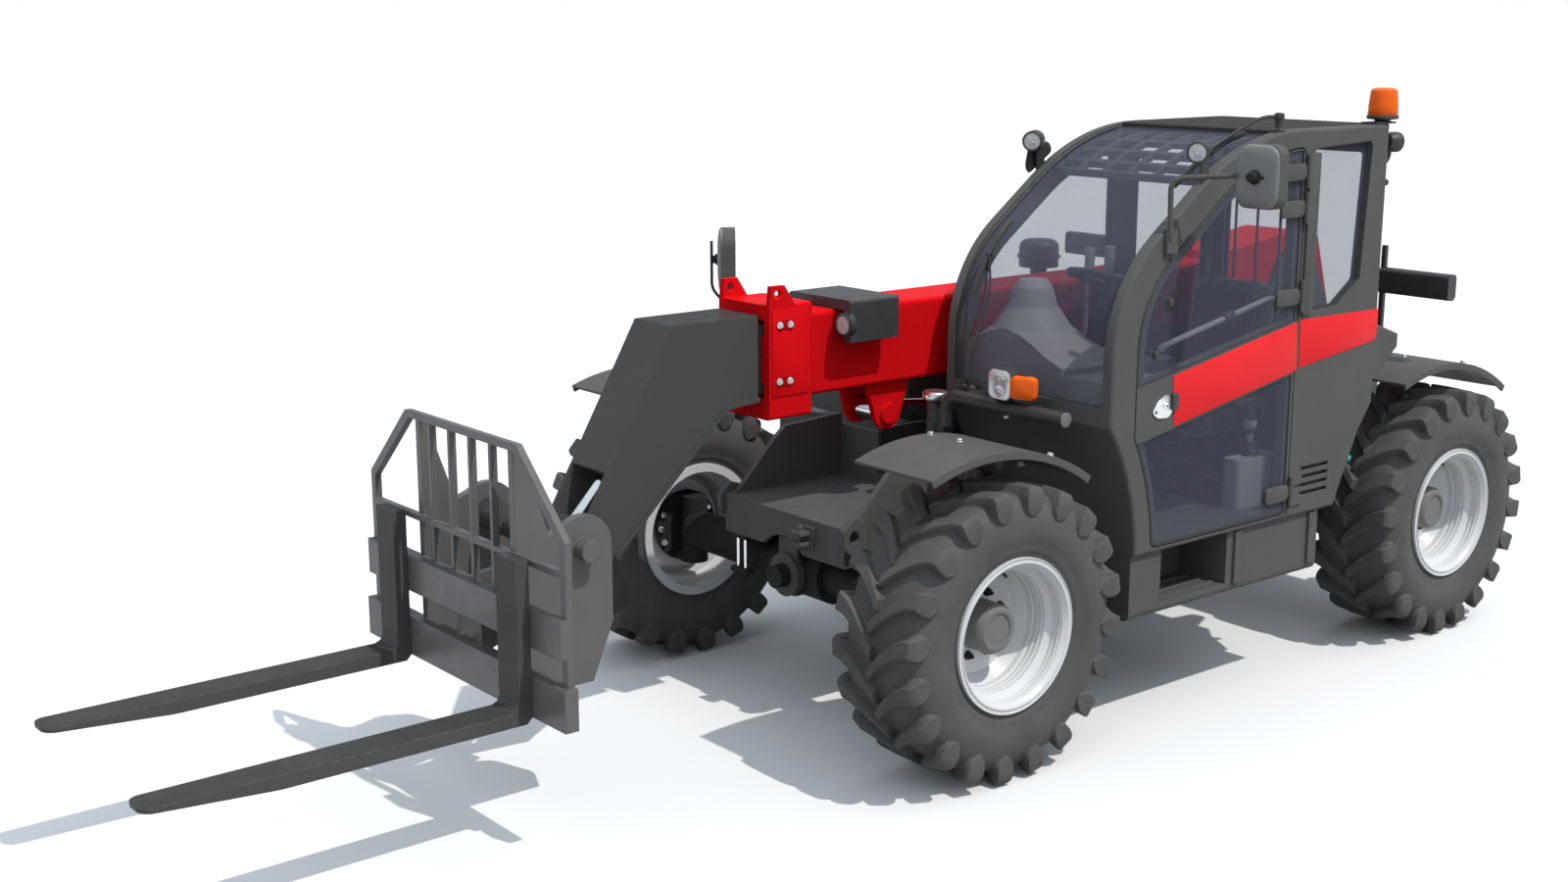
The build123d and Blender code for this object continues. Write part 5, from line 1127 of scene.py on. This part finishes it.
# Small fittings round the cab
FILLER_AT = (-0.215, 0.240, 1.120)
FILLER_CAP = ((0.045, 0.072), (0.050, 0.076), (0.050, 0.100), (0.046, 0.105), (0.030, 0.107), (0.0, 0.107))
FILLER_NECK = ((0.034, -0.060), (0.034, 0.066), (0.040, 0.070), (0.040, 0.074))
BAR_CAP = ((0.0265, -0.004), (0.0275, 0.0), (0.0275, 0.003), (0.024, 0.005), (0.0, 0.005))
BAR_CAP_Z = 1.228
REAR_LAMP_AT = Vector((CAB_REAR - 0.075, CAB_LEFT - 0.030, 2.145))
REAR_LAMP_WAY = (-1, 0.25, -0.1)
REAR_LAMP_R = 0.037
REAR_LAMP_CAN = ((0.012, -0.044), (0.030, -0.036), (0.039, -0.018), (0.041, 0.0), (0.041, 0.012),
                 (0.036, 0.015))
REAR_LAMP_POST_Y = CAB_LEFT - 0.036
REAR_PLUG = ((0.010, 0.0), (0.010, 0.020), (0.014, 0.024), (0.014, 0.036), (0.0, 0.040))
ROD_PLACES = (0.300, 0.414, 0.532)
ROD_OVERLAP = 0.030
ROD_OFF = 0.024
TEAL_AT = (-1.772, CAB_LEFT - 0.028, 0.880)
TEAL_PLUG = ((0.011, -0.010), (0.011, 0.016), (0.015, 0.018), (0.015, 0.034), (0.008, 0.038), (0.0, 0.038))


def rear_work_lamp():
    at = REAR_LAMP_AT
    lamp = bmesh.new()
    lathe(lamp, REAR_LAMP_CAN, looking(at, REAR_LAMP_WAY), 32)
    run = [at + Vector((0.020, -0.004, -0.02)), at + Vector((0.030, -0.006, -0.075)),
           (CAB_REAR + 0.004, REAR_LAMP_POST_Y, 2.060)]
    sweep(lamp, smooth_path(run, 0.03), circle(0.011, 10))
    bar(lamp, (CAB_REAR - 0.012, CAB_LEFT - 0.060, 1.960), (CAB_REAR, CAB_LEFT - 0.014, 2.085), 0.004)
    lathe(lamp, REAR_PLUG, frame_along((CAB_REAR - 0.010, REAR_LAMP_POST_Y, 1.985), REARWARD), 20)
    piece("rear_work_lamp", lamp, "black_plastic")
    work_lamp("rear_work_lamp_face", at + Vector((-0.0145, 0.0036, -0.0015)), REAR_LAMP_WAY, REAR_LAMP_R)


def cab_fittings():
    neck = Matrix.Translation(FILLER_AT)
    turned("filler_cap", FILLER_CAP, neck, "zinc", steps=48, flute=0.0012, sharp=60.0)
    tube = bmesh.new()
    lathe(tube, FILLER_NECK, neck, 32)
    bar(tube, (CAB_FRONT, 0.226, 1.050), (FILLER_AT[0], 0.254, 1.110), 0.004)
    piece("filler_neck", tube, "black_plastic")

    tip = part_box("lamp_bar")[1]
    turned("lamp_bar_cap", BAR_CAP, frame_along((tip.x - LAMP_BAR_R, tip.y, BAR_CAP_Z), LEFTWARD), "lamp")
    rear_work_lamp()

    rods = bmesh.new()
    rim = [point.z for loop in pane_outlines("cab_glass", REARWARD) for point in loop]
    foot = min(rim) - ROD_OVERLAP
    head = max(rim) + ROD_OVERLAP
    wall = CAB_REAR + 0.002
    off = CAB_REAR - ROD_OFF
    for y in ROD_PLACES:
        run = [(wall, y, foot), (off, y, foot), (off, y, head), (wall, y, head)]
        sweep(rods, smooth_path(run, 0.018), circle(0.006, 10))
    piece("rear_window_rods", rods, "black_plastic")
    turned("teal_fitting", TEAL_PLUG, frame_along(TEAL_AT, (-0.9, 0.1, -0.35)), "teal", steps=16)


cab_fittings()

# Seat and levers
JOYSTICK_BOOT_AT = (-1.283, 0.927, 0.938)
LEVER_PLACES = (-0.976, -1.096)
GRIP_AT = (-1.272, 0.927, 1.030)
GRIP_LEVELS = ((0.55, 0.0), (0.75, 0.025), (0.8, 0.055), (1.0, 0.080), (0.9, 0.100), (0.5, 0.108))
BOOT_FOLDS = 4
FOLD_SHARE = 0.84
PAD_VOXEL = 0.006
PAD_CAP = 0.014
PAD_PRESSURE = 4.0
PAD_FRAMES = 20
SEAM_DEPTH = 0.007
SEAM_WIDTH = 0.016
BACK_LEAN = math.radians(83.0)
BASE_LEVELS = [(1.0 if k % 2 == 0 else 0.93, 0.030 + 0.018 * k) for k in range(13)]


def bellows(bm, place, wide, narrow, height):
    """A rubber boot of folds that narrows upward."""
    profile = []
    for k in range(2 * BOOT_FOLDS + 1):
        share = k / (2 * BOOT_FOLDS)
        radius = wide + (narrow - wide) * share
        profile.append((radius * (1.0 if k % 2 == 0 else FOLD_SHARE), height * share))
    lathe(bm, profile, place, 28)


def cab_controls():
    boots = bmesh.new()
    bellows(boots, Matrix.Translation(JOYSTICK_BOOT_AT), 0.038, 0.015, 0.070)
    for x in LEVER_PLACES:
        bellows(boots, Matrix.Translation((x, 0.305, 1.229)), 0.034, 0.013, 0.060)
    piece("lever_boots", boots, "seal")
    stacked("joystick_grip", oblong(0.050, 0.056, 0.018), GRIP_LEVELS, Matrix.Translation(GRIP_AT),
            "black_plastic")


def swell(obj):
    """Blows a pad up as cloth under pressure, with each point's way capped."""
    voxel = obj.modifiers.new("voxels", "REMESH")
    voxel.mode = "VOXEL"
    voxel.voxel_size = PAD_VOXEL
    bpy.context.view_layer.objects.active = obj
    bpy.ops.object.modifier_apply(modifier=voxel.name)
    start = [v.co.copy() for v in obj.data.vertices]
    cloth = obj.modifiers.new("cloth", "CLOTH")
    cloth.settings.quality = 5
    cloth.settings.use_pressure = True
    cloth.settings.uniform_pressure_force = PAD_PRESSURE
    cloth.settings.effector_weights.gravity = 0.0
    cloth.point_cache.frame_start = 1
    cloth.point_cache.frame_end = PAD_FRAMES
    for number in range(1, PAD_FRAMES + 1):
        scene.frame_set(number)
    bpy.ops.object.modifier_apply(modifier=cloth.name)
    scene.frame_set(1)
    for vert, first in zip(obj.data.vertices, start):
        way = vert.co - first
        if way.length > PAD_CAP:
            vert.co = first + way.normalized() * PAD_CAP


def sew(obj, channels):
    """Presses sewn channels into a pad's top face: lines at given values of Y."""
    obj.data.update()
    for vert in obj.data.vertices:
        facing = vert.normal.dot(UP)
        if facing < 0.2:
            continue
        near = min(abs(vert.co.y - value) for value in channels)
        if near < SEAM_WIDTH:
            vert.co -= UP * SEAM_DEPTH * facing * (0.5 + 0.5 * math.cos(math.pi * near / SEAM_WIDTH))


def pad(name, size, place, corner, channels):
    """A padded seat piece, made about the origin and then set in its place."""
    bm = bmesh.new()
    width, length, thick = size
    half = thick / 2
    levels = [(0.90, -half), (0.97, -half + 0.014), (1.0, -thick * 0.1), (0.99, half - 0.02), (0.93, half)]
    stack(bm, oblong(width, length, corner, 8), levels, Matrix.Identity(4))
    bmesh.ops.triangulate(bm, faces=[f for f in bm.faces if len(f.verts) > 4])
    bmesh.ops.recalc_face_normals(bm, faces=bm.faces)
    made = in_scene(name, bm, "seat_cloth")
    swell(made)
    sew(made, channels)
    for face in made.data.polygons:
        face.use_smooth = True
    made.modifiers.new("smooth", "SUBSURF").levels = 1
    made.data.transform(place)
    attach(made, "chassis")
    return made


def seat():
    low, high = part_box("seat")
    middle = (low.y + high.y) / 2
    place = Matrix.Translation((-1.325, middle, 1.062))
    cushion = pad("seat_cushion", (0.480, 0.440, 0.096), place, 0.070, (-0.145, 0.145))
    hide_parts("seat")
    place = Matrix.Translation((-1.536, middle, 1.352)) @ Matrix.Rotation(BACK_LEAN, 4, "Y")
    pad("seat_back", (0.490, 0.400, 0.100), place, 0.085, (-0.125, 0.125))

    base = bmesh.new()
    place = Matrix.Translation((-1.360, middle, low.z))
    stack(base, oblong(0.350, 0.350, 0.045), BASE_LEVELS, place)
    bar(base, (-1.550, middle - 0.185, low.z), (-1.170, middle + 0.185, low.z + 0.032), 0.008)
    piece("seat_base", base, "seal")


cab_controls()
seat()


# Floor, light and camera
def any_ray(tree, first, *others):
    """1 on rays of any of these kinds, 0 on the others."""
    rays = add(tree, "LightPath")
    value = rays.outputs[first]
    for kind in others:
        either = add(tree, "Math", operation="MAXIMUM")
        link(value, either, 0)
        link(rays.outputs[kind], either, 1)
        value = either.outputs["Value"]
    return value


def aimed(name, data, way):
    """A light or a camera that looks along a way."""
    made = bpy.data.objects.new(name, data)
    made.rotation_mode = "QUATERNION"
    made.rotation_quaternion = way.to_track_quat("-Z", "Y")
    scene.collection.objects.link(made)
    return made


def floor_material():
    material, tree, shader = nodes_of("floor_look")
    seen = any_ray(tree, "Is Camera Ray", "Is Glossy Ray", "Is Transmission Ray")
    link(blend_colour(seen, (FLOOR_BOUNCE,) * 3, (FLOOR_SEEN,) * 3), shader, "Base Color")
    fix(shader, "Roughness", 0.9)
    fix(shader, "Specular IOR Level", 0.0)
    return material


def studio():
    """A sky that lights, and plain white where the camera sees past the floor."""
    world = bpy.data.worlds.new("studio")
    world.use_nodes = True
    tree = world.node_tree
    seen = any_ray(tree, "Is Camera Ray", "Is Transmission Ray")
    sky = tree.nodes["Background"]
    fix(sky, "Color", (*SKY_COLOUR, 1.0))
    way = add(tree, "TexCoord")
    axes = add(tree, "SeparateXYZ")
    link(way.outputs["Generated"], axes, "Vector")
    strength = spread(axes.outputs["Z"], HORIZON_STRENGTH, SKY_STRENGTH, 0.0, 0.7)
    link(strength, sky, "Strength")
    white = add(tree, "Background")
    fix(white, "Color", (1.0, 1.0, 1.0, 1.0))
    fix(white, "Strength", 1.0)
    mixed = add(tree, "MixShader")
    link(seen, mixed, 0)
    link(sky.outputs["Background"], mixed, 1)
    link(white.outputs["Background"], mixed, 2)
    link(mixed.outputs["Shader"], tree.nodes["World Output"], "Surface")
    return world


def stage():
    mesh = bpy.data.meshes.new("floor")
    half = FLOOR_HALF
    corners = [(-half, -half, 0), (half, -half, 0), (half, half, 0), (-half, half, 0)]
    mesh.from_pydata(corners, [], [(0, 1, 2, 3)])
    mesh.materials.append(floor_material())
    floor = bpy.data.objects.new("floor", mesh)
    floor.location.z = FLOOR_Z
    scene.collection.objects.link(floor)

    sun = bpy.data.lights.new("sun", "SUN")
    sun.energy = SUN_STRENGTH
    sun.angle = SUN_ANGLE
    sun.color = SUN_COLOUR
    aimed("sun", sun, SUN_TRAVEL)
    scene.world = studio()

    camera = bpy.data.cameras.new("camera")
    camera.lens = CAMERA_LENS
    camera.sensor_width = 36.0
    camera.clip_end = 300.0
    eye = aimed("camera", camera, CAMERA_LOOK)
    eye.location = CAMERA_AT
    scene.camera = eye


stage()
